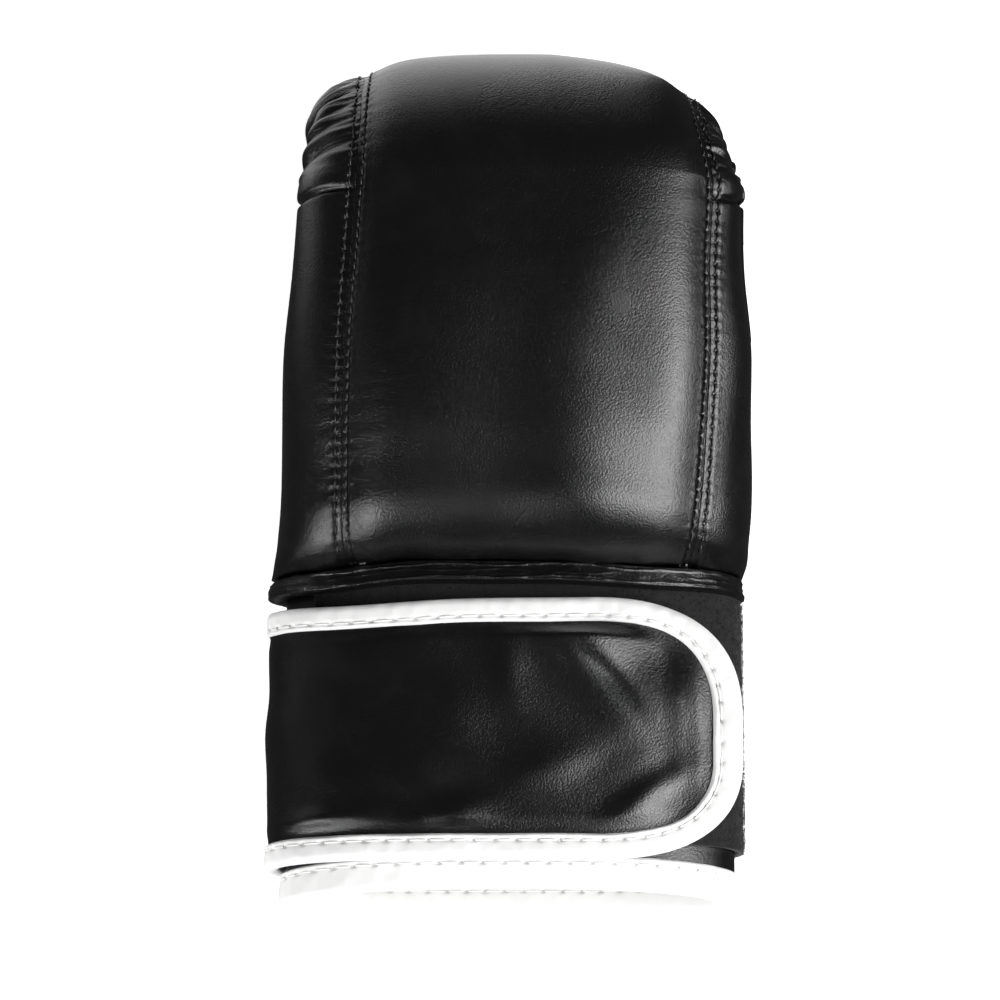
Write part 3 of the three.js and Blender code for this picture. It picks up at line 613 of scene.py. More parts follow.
stops = places_along(*SKIN_STEPS)
section = mitt_section(stops)
right_seam, left_seam = seam_angle(section, 1), seam_angle(section, -1)
back_skin = mitt_point(section, even_angles(section, right_seam, left_seam, graded(100, 0.38, 1.5, 5)), 0)
from_right = lengths_along(back_skin)
from_left = from_right[:, -1:] - from_right
SEAM_RUN = {1: lengths_along(back_skin[:, 0]), -1: lengths_along(back_skin[:, -1])}
back_normals = grid_normals(back_skin)
back_skin = sag(back_skin + back_normals * back_relief(back_skin, from_right, from_left)[..., None])
STITCH_ROWS = [
    (side, row_at(back_skin, distance, SEAM_ROW), row_at(back_normals, distance, SEAM_ROW))
    for side, distance in ((1, from_right), (-1, from_left))
]
UNDER = SKIN + 2 * GAP
inside_share = 1 - section["side"] / (section["half_width"] - SKIN - GAP)
corner = np.minimum(FOAM_ENDS, 0.8 * np.arccos(inside_share ** (ROUND_ACROSS / 2)))
flank = np.linspace(0, 1, 9)[None, :]
under_right = mitt_point(section, mix(-corner, right_seam, flank), UNDER)
under_left = mitt_point(section, mix(left_seam, math.pi + corner, flank), UNDER)
foam_outside = np.concatenate([under_right, back_skin, under_left], axis=1)
foam_inside = arch_point(section, np.linspace(1, 0, foam_outside.shape[1]))
back_pad = closed_sheet("back_pad_padded", foam_outside, foam_inside, black_leather)
dress(back_pad, "back_pad")

# Side panels: single skins of the same leather from the seams round both sides of the hand. Their
# leather is eased into the shorter edge at the knuckles, where it gathers in folds, and it is tucked
# at the finger crease.
GATHERS = [
    # where a fold's crest meets the seam, in degrees round the turn, how far it leans towards the palm,
    # its height in millimetres and its half width in degrees
    (10, 2, 2.8, 7.6),
    (23, 4, 3.0, 7.0),
    (35, 6, 2.8, 6.4),
    (46, 8, 2.5, 6.0),
    (57, 8, 2.2, 5.6),
    (68, 6, 1.9, 5.6),
    (80, 4, 1.6, 6.0),
]
GATHERS_SINK = 2.5
GATHERS_FADE = 0.3
GATHERS_END = 0.6  # power of the curve by which the folds fade at a panel's edges
CREST = 1.7  # power of a crest's curve
TUCK_BELOW = 4.2
TUCK_DEPTH = 1.9
LIP_HEIGHT = 0.35
LIP_SPREAD = 6
LAST_FOLD = 0.9
LAST_FOLD_HALF = 3.6
EDGE_SINK = 0.9  # where the panel is sewn to the palm
SIDE_NAMES = {1: "side_panel_right", -1: "side_panel_left"}


def gathers(section, share, s, side):
    """Height of a side panel's folds: broad crests that meet in sharp valleys, and a tuck at the crease."""
    ends = np.sin(math.pi * np.clip(share, 0, 1)) ** GATHERS_END
    degrees = np.degrees(section["turn"])
    to_crease = CREASE_Y - TUCK_BELOW - section["y"] + 0.5 * smooth_noise(61 + side, share * 1.3)
    tuck = LIP_HEIGHT * np.where(to_crease > 0, np.exp(-to_crease / LIP_SPREAD), 0)
    tuck = tuck - TUCK_DEPTH * bump(to_crease + 0.3, 0.75)
    from_axis = np.where(section["at"] <= 1, to_crease + TUCK_BELOW, -0.45 * degrees)
    last = 1 - ((from_axis - 0.6) / LAST_FOLD_HALF) ** 2
    bulge = LAST_FOLD * np.sqrt(np.maximum(last, 0))
    strength = 1.0 if side < 0 else 0.75 - 0.35 * ramp(degrees, 40, 30)
    folds = 0
    for k, (turn, lean, height, spread) in enumerate(GATHERS):
        seed = k + 20 * side
        wander = 1.8 * smooth_noise(71 + seed, share * 1.4)
        d = (degrees + lean * share - turn + wander) / spread
        uneven = 1 + 0.22 * smooth_noise(91 + seed, share * 2.3)
        folds = np.maximum(folds, height * uneven * np.clip(1 - np.abs(d) ** CREST, 0, 1))
    fine = 0.26 * smooth_noise(101 + side, degrees / 3.4, share * 0.8) * np.exp(-s / 12)
    fine = fine + 0.16 * smooth_noise(105 + side, degrees / 7, share * 3)
    sink = GATHERS_SINK * ramp(degrees, 0, 8) * (1 - 0.6 * ramp(degrees, 35, 35))
    sunk = strength * (folds - sink)
    sunk = np.where(last > 0, np.maximum(sunk, bulge), sunk)
    on_turn = (sunk * ends + fine * np.minimum(degrees / 6, 1)) * (1 - ramp(section["at"], 2, GATHERS_FADE))
    return np.where(section["at"] <= 1, (tuck + bulge) * ends, on_turn)


def side_panel(side):
    """The panel on the right (1) or on the left (-1), from the seam to the palm's edge."""
    start = seam_angle(section, side)
    end = np.full_like(start, -PALM_CORNER if side > 0 else math.pi + PALM_CORNER)
    angles = even_angles(section, start, end, graded(40, 0.34, 0.95, 5, both=False))
    skin = mitt_point(section, angles, 0)
    s = lengths_along(skin)
    normals = grid_normals(skin) * -side
    out = seam_relief(s, SEAM_RUN[side][:, None], side) + gathers(section, s / s[:, -1:], s, side)
    out = out + 0.4 * smooth_noise(111 + side, skin[..., 1] / 50, skin[..., 2] / 40) * np.minimum(s / 12, 1)
    out = out - EDGE_SINK * bump(s[:, -1:] - s, 1.2)
    skin = sag(skin + normals * out[..., None])
    STITCH_ROWS.append((side, row_at(skin, s, SEAM_ROW), row_at(normals, s, SEAM_ROW)))
    inside = mitt_point(section, angles, SKIN) + normals * np.clip(0.8 * out, -0.5, None)[..., None]
    return closed_sheet(SIDE_NAMES[side] + "_sewn", skin, sag(inside), black_leather)


for side in (-1, 1):
    dress(side_panel(side), SIDE_NAMES[side])

# Palm panel: one skin of the same leather across the palm side, bent at the finger crease, where it
# wrinkles. The thumb is sewn round a hole in it.
PALM_GRID = 64
PALM_GIRTH = 110
PALM_EDGE_SINK = 0.8
CREASE_SINK = 0.5
palm_stops = [np.linspace(0, 1, 70), np.linspace(1, 2, 12), np.linspace(2, 3, 34)]
palm_section = mitt_section(np.unique(np.concatenate(palm_stops)))
palm_from = np.full_like(palm_section["at"], math.pi + PALM_CORNER)
palm_to = np.full_like(palm_section["at"], 2 * math.pi - PALM_CORNER)
palm_angles = even_angles(palm_section, palm_from, palm_to, np.linspace(0.003, 0.997, PALM_GRID))
palm_skin = mitt_point(palm_section, palm_angles, 0)
palm_share = np.linspace(0, 1, PALM_GRID)[None, :]
to_edge = np.minimum(palm_share, 1 - palm_share) * PALM_GIRTH
to_crease = CREASE_Y - palm_section["y"]
slack = smooth_noise(121, palm_skin[..., 0] / 45, palm_skin[..., 1] / 40)
palm_out = 0.6 * slack * np.minimum(to_edge / 14, 1) - PALM_EDGE_SINK * bump(to_edge, 1.4)
palm_out = palm_out - CREASE_SINK * bump(to_crease - 6, 2) * (palm_section["at"] <= 1)
palm_skin = palm_skin + grid_normals(palm_skin) * palm_out[..., None]
palm_inside = mitt_point(palm_section, palm_angles, SKIN)
palm_panel = closed_sheet("palm_panel_sewn", palm_skin, palm_inside, black_leather)

# Thumb: a padded leather sheath under the palm, open at its root into the hand room. It is a tube of
# round sections whose root runs up into the palm.
THUMB_WIDTH = 30
THUMB_HEIGHT = 27
THUMB_LENGTH = 66
THUMB_WALL = 3
THUMB_CLEARANCE = 1.5
THUMB_ROOT = (-0.27 * FIST_WIDTH, mix(MITT_START, CREASE_Y, 0.26))
THUMB_TURN = math.radians(9)
THUMB_ROOT_LIFT = 22
THUMB_COLUMNS = ("at", "lift", "size")
THUMB = [
    (-0.32, 1.25, 0.98),
    (-0.12, 0.85, 1),
    (0.06, 0.42, 1),
    (0.22, 0.14, 1),
    (0.4, 0, 1),
    (0.66, 0, 0.97),
    (0.84, 0, 0.86),
    (0.94, 0, 0.66),
    (0.99, 0, 0.38),
]
CUT_CORNER = math.radians(40)


def capped_tube(name, rings, material):
    index = np.pad(numbers(rings), ((0, 0), (0, 1)), mode="wrap")
    first, last = rings[..., 0].size, rings[..., 0].size + 1
    points = np.concatenate([rings.reshape(-1, 3), [rings[0].mean(axis=0), rings[-1].mean(axis=0)]])
    faces = quads(index).tolist()
    faces += [(b, a, first) for a, b in zip(index[0, :-1].tolist(), index[0, 1:].tolist())]
    faces += [(a, b, last) for a, b in zip(index[-1, :-1].tolist(), index[-1, 1:].tolist())]
    return new_piece(name, points, faces, material)


def thumb_tube(name, inset, rows, sides):
    at = np.linspace(THUMB[0][0], THUMB[-1][0], rows)
    row = read_table(THUMB_COLUMNS, THUMB, at)
    lean = np.arctan(np.gradient(row["lift"] * THUMB_ROOT_LIFT, at * THUMB_LENGTH))[:, None]
    turn = np.linspace(0, 2 * math.pi, sides, endpoint=False)[None, :]
    at, size = at[:, None], row["size"][:, None]
    x = np.maximum(THUMB_WIDTH / 2 * size - inset, 1) * np.cos(turn)
    h = np.maximum(THUMB_HEIGHT / 2 * size - inset, 1) * np.sin(turn)
    y = at * THUMB_LENGTH - inset * (at > 0.9) - h * np.sin(lean)
    middle = THUMB_CLEARANCE + THUMB_HEIGHT / 2 + row["lift"][:, None] * THUMB_ROOT_LIFT
    points = together(
        THUMB_ROOT[0] + x * np.cos(THUMB_TURN) + y * np.sin(THUMB_TURN),
        THUMB_ROOT[1] - x * np.sin(THUMB_TURN) + y * np.cos(THUMB_TURN),
        middle + h * np.cos(lean),
    )
    if inset == 0:
        from_seam = np.minimum(np.abs(turn - math.pi), 1) * THUMB_WIDTH / 2
        swell = -0.7 * bump(from_seam, 1.2) + 0.25 * smooth_noise(131, turn / 3, at * 2)
        points = points + together(np.cos(turn), 0, np.sin(turn)) * swell[..., None]
    return capped_tube(name, points, black_leather)


def largest_body(mesh):
    """The numbers of the points of a mesh's largest body."""
    neighbours = {}
    for a, b in mesh.edge_keys:
        neighbours.setdefault(a, []).append(b)
        neighbours.setdefault(b, []).append(a)
    left_over, bodies = set(neighbours), []
    while left_over:
        body, front = set(), [next(iter(left_over))]
        while front:
            v = front.pop()
            if v not in body:
                body.add(v)
                front += neighbours[v]
        bodies.append(body)
        left_over -= body
    return sorted(max(bodies, key=len))


def cut(piece, tools):
    """Cut the tools out of a piece and keep its largest body."""
    for tool in tools:
        modifier = piece.modifiers.new("cut", "BOOLEAN")
        modifier.operation = "DIFFERENCE"
        modifier.solver = "EXACT"
        modifier.object = tool
    bpy.context.view_layer.update()
    whole = bpy.data.meshes.new_from_object(piece.evaluated_get(bpy.context.evaluated_depsgraph_get()))
    piece.modifiers.clear()
    keep = {v: i for i, v in enumerate(largest_body(whole))}
    faces = [[keep[v] for v in face.vertices] for face in whole.polygons if face.vertices[0] in keep]
    mesh = bpy.data.meshes.new(piece.name)
    mesh.from_pydata([whole.vertices[v].co[:] for v in keep], [], faces)
    mesh.materials.append(whole.materials[0])
    mesh.polygons.foreach_set("use_smooth", np.ones(len(mesh.polygons), dtype=bool))
    mesh.set_sharp_from_angle(angle=CUT_CORNER)
    piece.data = mesh


thumb = thumb_tube("thumb_padded", 0, 90, 64)
thumb_inside = thumb_tube("thumb_inside", THUMB_WALL, 60, 48)
body_angles = np.linspace(0, 2 * math.pi, 96, endpoint=False)[None, :]
mitt_body = capped_tube(
    "mitt_body", mitt_point(mitt_section(np.linspace(0, 3, 60)), body_angles, -GAP), black_leather)
cut(thumb, [thumb_inside, mitt_body])
cut(palm_panel, [thumb_inside])
for tool in (thumb_inside, mitt_body):
    bpy.data.objects.remove(tool)
dress(thumb, "thumb")
dress(palm_panel, "palm_panel")

# Cuff: a wall of the same leather round the wrist, tucked into the mitt. Its outline is pressed flat
# where it rests, and its rim rises a little in the middle of the back.
CUFF_WIDTH = 125.5
CUFF_HEIGHT = 50
CUFF_WALL = 2.5
CUFF_TUCK = 8
CUFF_END = HEM_TOP + CUFF_TUCK
CUFF_FLOOR = 4.9
CUFF_STEP = 1.5
PRESSED_FLAT = 0.6
TAPE = 1
RIM_SCOOP = 2.2
DENTS_FROM, DENTS_TO = 12, 82
CUFF_COLUMNS = ("at", "width", "low", "high")
CUFF = [
    (0, 1, 0, 1),
    (0.83, 1, 0, 1),
    (0.9, 0.965, 0.02, 0.99),
    (1, 0.9, 0.1, 0.95),
]


def cuff_point(angle, y, outset):
    """Points on the cuff at an angle, a distance y above the rim and an outset from its outside."""
    row = read_table(CUFF_COLUMNS, CUFF, np.clip(y / CUFF_END, 0, 1))
    low = row["low"] * CUFF_HEIGHT - PRESSED_FLAT
    half = (row["high"] * CUFF_HEIGHT - low) / 2
    x, h = round_point(angle, row["width"] * CUFF_WIDTH / 2 + outset, half + outset, half + outset)
    h = np.maximum(h, -half + PRESSED_FLAT - outset)
    return together(x, y, CUFF_FLOOR + low + half + h)


def rim_rise(angle):
    return RIM_SCOOP * np.maximum(np.sin(angle), 0) ** 2


def ring_angles(step, start=0.0, end=2 * math.pi, closed=True):
    """Angles about step millimetres apart round the cuff, and the whole length round it."""
    dense = np.linspace(start, end, 20001)
    length = lengths_along(cuff_point(dense, 40.0, 0))
    even = np.linspace(0, length[-1], int(length[-1] / step) + 1)
    return np.interp(even[:-1] if closed else even, length, dense), length[-1]


def cuff_ring(name, angles, parts, material):
    """A ring round the cuff, whose closed cross-section's parts are rows of outsets and of heights."""
    profile = np.concatenate([together(outset, y + 0 * angles[:, None]) for outset, y in parts], axis=1)
    return ring_sheet(name, cuff_point(angles[:, None], profile[..., 1], profile[..., 0]), material)


cuff_angles, _ = ring_angles(CUFF_STEP)
cuff_cos, cuff_sin = np.cos(cuff_angles)[:, None], np.sin(cuff_angles)[:, None]
levels = np.concatenate([np.linspace(0, 78, 28), np.linspace(80, CUFF_END, 12)])[None, :]
rise = rim_rise(cuff_angles)[:, None]
ys = TAPE + GAP + rise + levels * (CUFF_END - TAPE - GAP - rise) / CUFF_END
dents = 0.35 * smooth_noise(141, cuff_sin * 0.8, cuff_cos * 0.8)
dents = dents + 0.3 * smooth_noise(151, cuff_sin, cuff_cos, levels / 30)
dents = np.minimum(dents, 0) * (ys > DENTS_FROM) * (ys < DENTS_TO)
cuff = cuff_ring("cuff_wall", cuff_angles, [(dents, ys), (-CUFF_WALL, ys[:, ::-1])], black_leather)
dress(cuff, "cuff")

# Cuff lining: soft white knitted cloth inside the cuff wall, sewn in at the rim.
LINING = 1
LINING_DEPTH = 78
LINING_WHITE = (0.86, 0.86, 0.85, 1)
LINING_ROUGHNESS = 0.9
LINING_SHEEN, LINING_SHEEN_ROUGHNESS = 0.3, 0.5
KNIT = 0.0011
KNIT_DEPTH = 0.00012
SOFT_FROM = 11  # above the rim, clear of its binding
white_cloth, cloth_tree = new_material("white_lining")
cloth_place = cloth_tree.nodes.new("ShaderNodeTexCoord").outputs["Object"]
knit = add_cells(cloth_tree, cloth_place, 1 / KNIT)
fuzz = add_noise(cloth_tree, 2.5 / KNIT, detail=3)
ribs = add_node(cloth_tree, "ShaderNodeMath", {0: fuzz, 1: knit}, operation="SUBTRACT").outputs[0]
set_shader(cloth_tree, {
    "Base Color": LINING_WHITE,
    "Roughness": LINING_ROUGHNESS,
    "Sheen Weight": LINING_SHEEN,
    "Sheen Roughness": LINING_SHEEN_ROUGHNESS,
    "Normal": add_relief(cloth_tree, ribs, KNIT_DEPTH),
})
levels = np.linspace(0, 1, 34)[None, :]
ys = mix(TAPE + GAP + rise, LINING_DEPTH, levels)
soft = 0.35 * smooth_noise(161, cuff_sin * 2, cuff_cos * 2, levels * 2)
wall_side = -CUFF_WALL - GAP
hand_side = (wall_side - LINING - np.maximum(soft, 0) * (ys > SOFT_FROM))[:, ::-1]
lining_parts = [(wall_side, ys), (hand_side, ys[:, ::-1])]
lining = cuff_ring("cuff_lining_cloth", cuff_angles, lining_parts, white_cloth)
dress(lining, "cuff_lining")

# Rim binding: white tape folded over the cuff's lower edge and sewn through with one line of white
# stitches near its upper edge.
RIM_BINDING_HEIGHT = 9
RIM_STITCH_AT = 7.1  # from the rim
RIM_STEP = 0.55
RIM_FOLD = 1.1
BINDING_PITCH = 5.9
TAPE_FACE = 0.8 * TAPE
RIM_INSIDE = -(CUFF_WALL + GAP + LINING + GAP)
RIM_OUT = GAP + TAPE_FACE
RIM_IN = RIM_INSIDE - TAPE_FACE
TAPE_WHITE = (0.80, 0.80, 0.795, 1)
TAPE_ROUGHNESS = 0.46
TAPE_WRINKLE = 0.008
TAPE_GRAIN_DEPTH = 0.00002
TAPE_GRAIN_STRENGTH = 0.8
white_tape, tape_tree = new_material("white_binding")
tape_grain = add_node(tape_tree, "ShaderNodeGroup", {"Wrinkle": TAPE_WRINKLE}, node_tree=leather_grain)
set_shader(tape_tree, {
    "Base Color": TAPE_WHITE,
    "Roughness": TAPE_ROUGHNESS,
    "Normal": add_relief(tape_tree, tape_grain.outputs["Height"], TAPE_GRAIN_DEPTH, TAPE_GRAIN_STRENGTH),
})


def binding_relief(w, t, seed, line):
    """Height of a tape at w from its outer edge and t along it, sewn down along the given line."""
    beat, hole = needle_holes(t, BINDING_PITCH)
    hole = hole ** 2
    out = -(0.12 + 0.85 * hole) * bump(w - line, 0.42 + 0.14 * hole)
    out = out + 0.1 * (1 - beat) * bump(w - line - 1.0, 0.7)
    pucker = smooth_noise(seed, t / 5.2, w / 9) * 0.13 + smooth_noise(seed + 1, t / 2.6) * 0.05
    out = out + (0.24 + pucker) * np.sin(np.clip(w / line, 0, 1) * math.pi)
    return out + 0.10 * smooth_noise(seed + 2, t / 14, w / 12)


rim_angles, rim_round = ring_angles(RIM_STEP)
rim_count = round(rim_round / BINDING_PITCH)
rim_t = np.linspace(0, rim_count * BINDING_PITCH, len(rim_angles), endpoint=False)[:, None]
w = np.concatenate([np.linspace(RIM_BINDING_HEIGHT, 5.2, 15), np.linspace(4.6, 1.2, 6)])[None, :]
rim_face = RIM_OUT + binding_relief(w, rim_t, 171, RIM_STITCH_AT)
rim_face = rim_face - 0.75 * bump(w - RIM_BINDING_HEIGHT, 0.35)
rim_back = RIM_IN - binding_relief(w[:, ::-1], rim_t, 181, RIM_STITCH_AT)
fold_turn = np.linspace(0, math.pi, 9)[1:-1][None, :]
fold = (RIM_OUT + RIM_IN) / 2 + (RIM_OUT - RIM_IN) / 2 * np.cos(fold_turn)
rise = rim_rise(rim_angles)[:, None]
slot = np.array([[RIM_INSIDE, RIM_INSIDE, GAP, GAP]])
slot_y = np.array([[RIM_BINDING_HEIGHT, TAPE, TAPE, RIM_BINDING_HEIGHT]])
rim_binding = cuff_ring("rim_binding_tape", rim_angles, [
    (rim_face, w + rise),
    (fold, RIM_FOLD * (1 - np.sin(fold_turn)) + rise),
    (rim_back, w[:, ::-1] + rise),
    (slot, slot_y + rise),
], white_tape)
dress(rim_binding, "rim_binding")

# Hem: the mitt's lower edge, turned and rolled into a narrow band of the same leather, sewn round the
# cuff and the top of the loop panel. It is pinched into small pleats at its right end.
LOOP_PILE = 1.2
LOOP_OUTSIDE = GAP + LOOP_PILE
HEM_STEP = 0.5
HEM_LEAN = 1.4
HEM_CREASES = [(0.2, 0.22), (0.78, 0.3)]  # share of the band's width and height of each
PLEATS = 0.34
hem_angles, hem_round = ring_angles(HEM_STEP)
hem_t = np.linspace(0, hem_round, len(hem_angles), endpoint=False)[:, None]
hem_angles = hem_angles[:, None]
share = np.linspace(0, 1, 38)[None, :]
wander = 0.05 * smooth_noise(191, hem_t / 34) + 0.03 * smooth_noise(192, hem_t / 8)
wander = wander + 0.012 * smooth_noise(193, hem_t / 2.8)
creases = sum(height * bump(share - at - wander, 0.045) for at, height in HEM_CREASES)
rolls = 0.25 - HEM_LEAN * (share - 0.35) + (1 - 0.5 * bump(hem_angles - 0.5, 0.6)) * creases
puffs = np.clip(0.5 + smooth_noise(194, hem_t / 26), 0, 1)
rolls = rolls + 0.16 * puffs * bump(share - 0.5 + 1.5 * wander, 0.05)
rolls = rolls - 1.3 * bump(share, 0.05) - 1.2 * bump(1 - share, 0.05)
rolls = rolls + 0.12 * smooth_noise(201, hem_t / 9, share * 1.5)
rolls = rolls + 0.06 * smooth_noise(202, hem_t / 3.1, share * 2)
rolls = rolls + PLEATS * bump(hem_angles - 0.25, 0.3) * smooth_noise(203, hem_t / 4.2 + share)
rolls = rolls + 0.2 * smooth_noise(211, hem_t / 25)
first = mitt_section(0)
x, h = round_point(hem_angles, first["half_width"] + rolls, first["rise"] + rolls, first["drop"] + rolls)
hem_y = mix(CUFF_LENGTH, HEM_TOP, share)
hem_outside = together(x + first["shift"], hem_y, first["z"] + first["middle"] + h)
inside_y = np.array([[HEM_TOP, (CUFF_LENGTH + HEM_TOP) / 2, CUFF_LENGTH]])
hem_inside = cuff_point(hem_angles, inside_y, LOOP_OUTSIDE + GAP)
hem = ring_sheet("hem_rolled", sag(np.concatenate([hem_outside, hem_inside], axis=1)), black_leather)
dress(hem, "hem")

# Loop panel: black loop pile tape on the back of the cuff and round its little-finger side.
LOOP_FROM = 15
LOOP_START, LOOP_END = math.radians(-40), math.radians(140)
LOOP_ROOTS = 0.15  # of the tape's thickness, below its fibres' ends
PILE_BLACK = (0.003, 0.003, 0.0035, 1)
PILE_ROUGHNESS = 0.85
PILE_SHEEN, PILE_SHEEN_ROUGHNESS = 0.12, 0.4
TUFTS = 1400
TUFT_DEPTH = 0.0002


def noise_material(name, colour, roughness, scale, depth, sheen=0.0, sheen_roughness=0.5):
    """One colour, whose relief is a fine noise."""
    material, tree = new_material(name)
    set_shader(tree, {
        "Base Color": colour,
        "Roughness": roughness,
        "Sheen Weight": sheen,
        "Sheen Roughness": sheen_roughness,
        "Normal": add_relief(tree, add_noise(tree, scale), depth),
    })
    return material


def pile_material(name, colour):
    return noise_material(name, colour, PILE_ROUGHNESS, TUFTS, TUFT_DEPTH, PILE_SHEEN, PILE_SHEEN_ROUGHNESS)


def bulk(angle):
    """How far the pile stands out at the cuff's side, where nothing presses it down."""
    return 1.2 * bump(angle, 0.55)


black_pile = pile_material("black_pile", PILE_BLACK)
loop_angles = ring_angles(1.0, LOOP_START, LOOP_END, closed=False)[0][:, None]
ys = np.linspace(LOOP_FROM, CUFF_LENGTH + HEM_LENGTH / 2, 64)[None, :]
nap = 0.12 * smooth_noise(221, loop_angles * 9, ys / 5, waves=12)
loop_face = cuff_point(loop_angles, ys, LOOP_OUTSIDE - LOOP_ROOTS + nap + bulk(loop_angles))
loop_back = cuff_point(loop_angles, ys, GAP + 0 * nap)
loop_panel = closed_sheet("loop_panel_pile", loop_face, loop_back, black_pile)
dress(loop_panel, "loop_panel")

# Strap: one layer of the same leather, from its sewn end on the palm side round the thumb side and
# over the back to a round end. Its face is soft and slightly wrinkled, and its edges sit in the tape.
HOOK = 1.2
STRAP_HEIGHT = 74.5
STRAP_THICKNESS = 2
STRAP_BINDING_WIDTH = 7
STRAP_ROOT = 32
TIP_REACH = 64.2
TIP_LENGTH, TIP_TOP, TIP_BOTTOM = 44, 36, 30
CORNER_POWER = 2.5
STRAP_LOW = 9.6
STRAP_BINDING = STRAP_THICKNESS + 2 * GAP + 2 * TAPE
STRAP_OVER_BACK = LOOP_OUTSIDE + GAP + HOOK + GAP + STRAP_THICKNESS / 2
STRAP_OVER_PALM = GAP + STRAP_BINDING / 2
STRAP_MIDDLE = STRAP_LOW + STRAP_HEIGHT / 2
STRAP_LEAVES = math.radians(61)
STRAP_CLIMBS = 0.7
STRAP_END_DROPS = 0.42  # of the slope where it leaves the cuff
STRAP_STIFFNESS = 35  # steps of its line on either side that a bend is spread over
STRAP_INSET = TAPE + GAP
STRAP_DIPS = [
    # of its upper edge: x of the middle, half width, depth
    (10, 46, 1.9),
    (-48, 30, 3.2),
]
STRAP_FOLDS = [
    # a soft crease of the face: x and y of its middle, its direction in degrees, length, width, height
    (26.5, 61.5, -47, 13, 2.4, -1.1),
    (21, 72, -47, 16, 9, 3.3),
    (45, 60, -58, 8, 3.0, -0.35),
    (0, 64, 94, 13, 5.0, 0.75),
    (37.8, 27.8, 35, 13, 4.0, 1.7),
    (49.5, 22, 38, 8, 3.4, -0.9),
    (56, 25, 62, 6, 2.5, 0.4),
    (28, 38, 32, 14, 4.5, -0.4),
    (8, 34, 24, 14, 4.5, 0.5),
    (-13, 22.5, 8, 9, 5.0, 1.7),
    (-30, 25, -34, 11, 3.6, -0.5),
    (-40, 22, 14, 7, 3.0, 0.5),
    (-53, 21.0, 8, 8, 3.4, 1.6),
    (-50, 44, 80, 16, 4.0, 0.25),
]
FOLD_BENDS = 0.02 / 3


def strap_line():
    """The strap's middle line across the glove, as x and z, and the length from its sewn end."""
    half = CUFF_WIDTH / 2 + STRAP_OVER_PALM
    root = 2 * math.pi - math.acos((STRAP_ROOT / half) ** (ROUND_ACROSS / 2))
    angle = np.linspace(root, STRAP_LEAVES, 121)
    back = ease(ramp(np.sin(angle), -STRAP_CLIMBS, 2 * STRAP_CLIMBS))
    line = cuff_point(angle, STRAP_MIDDLE, mix(STRAP_OVER_PALM, STRAP_OVER_BACK, back))[:, [0, 2]]
    along = (line[-1] - line[-2]) * np.array([1, STRAP_END_DROPS])
    run = max(TIP_REACH - line[-1, 0], 1) / along[0]
    line = np.concatenate([line, line[-1] + along * run * np.linspace(0, 1, 9)[1:, None]])
    length = lengths_along(line)
    fine = np.linspace(0, length[-1], 1500)
    line = at_lengths(fine, length, line)
    n = STRAP_STIFFNESS
    line = np.concatenate([2 * line[0] - line[n:0:-1], line, 2 * line[-1] - line[-2:-n - 2:-1]])
    kernel = np.hanning(2 * n + 1) / np.hanning(2 * n + 1).sum()
    return together(*(np.convolve(column, kernel, "valid") for column in line.T)), fine


strap_path, strap_lengths = strap_line()
strap_total = strap_lengths[-1]
strap_along = unit(np.gradient(strap_path, axis=0))


def wrap(length, y, height):
    """Points of the strap: a length from its sewn end, y above the rim, a height over its middle."""
    x, z = np.moveaxis(at_lengths(length, strap_lengths, strap_path), -1, 0)
    along_x, along_z = np.moveaxis(at_lengths(length, strap_lengths, strap_along), -1, 0)
    dip = sum(depth * bump(x - middle, spread) for middle, spread, depth in STRAP_DIPS)
    y = y - dip * ramp(y, 45, 35) * ramp(z, 15, 25)
    return together(x - along_z * height, y, z + along_x * height)


def strap_edges(length, inset):
    into = ramp(length, strap_total - TIP_LENGTH, TIP_LENGTH - inset)
    arc = (1 - into ** CORNER_POWER) ** (1 / CORNER_POWER)
    low = STRAP_LOW + inset + (TIP_BOTTOM - inset) * (1 - arc)
    high = STRAP_LOW + STRAP_HEIGHT - inset - (TIP_TOP - inset) * (1 - arc)
    return low, high


def strap_stops(inset, step):
    start = strap_total - TIP_LENGTH
    turn = np.linspace(0, math.pi / 2, int(70 / step))
    straight = np.linspace(0, start, int(start / step))[:-1]
    return np.concatenate([straight, start + np.sin(turn) * (TIP_LENGTH - inset)])


def strap_relief(y, x):
    out = 0.5 * smooth_noise(231, x / 42, y / 30) + 0.22 * smooth_noise(241, x / 15, y / 17)
    out = out + 0.04 * np.maximum(x - 42, 0)
    for fold_x, fold_y, direction, length, width, height in STRAP_FOLDS:
        c, s = math.cos(math.radians(direction)), math.sin(math.radians(direction))
        along = (x - fold_x) * c + (y - fold_y) * s
        across = -(x - fold_x) * s + (y - fold_y) * c + FOLD_BENDS * along ** 2
        out = out + height * bump(along, length) * bump(across, width)
    return out


lengths = strap_stops(STRAP_INSET, 1.0)[:, None]
low, high = strap_edges(lengths, STRAP_INSET)
share = np.linspace(0, 1, 100)[None, :]
ys = mix(low, high, share)
strap_x = wrap(lengths, ys, 0)[..., 0]
to_edges = (share * (high - low), (1 - share) * (high - low), strap_total - lengths - STRAP_THICKNESS)
inward = sum(1 / np.maximum(d, 0.05) ** 3 for d in to_edges) ** (-1 / 3)
free = ease(ramp(inward, STRAP_BINDING_WIDTH - 0.8, 4.4)) * (1 - 0.85 * ramp(strap_x, 46, 14))
puff = free * (0.7 + strap_relief(ys, strap_x))
strap_face = wrap(lengths, ys, STRAP_THICKNESS / 2 + puff)
strap = closed_sheet("strap_leather", strap_face, wrap(lengths, ys, -STRAP_THICKNESS / 2), black_leather)
dress(strap, "strap")

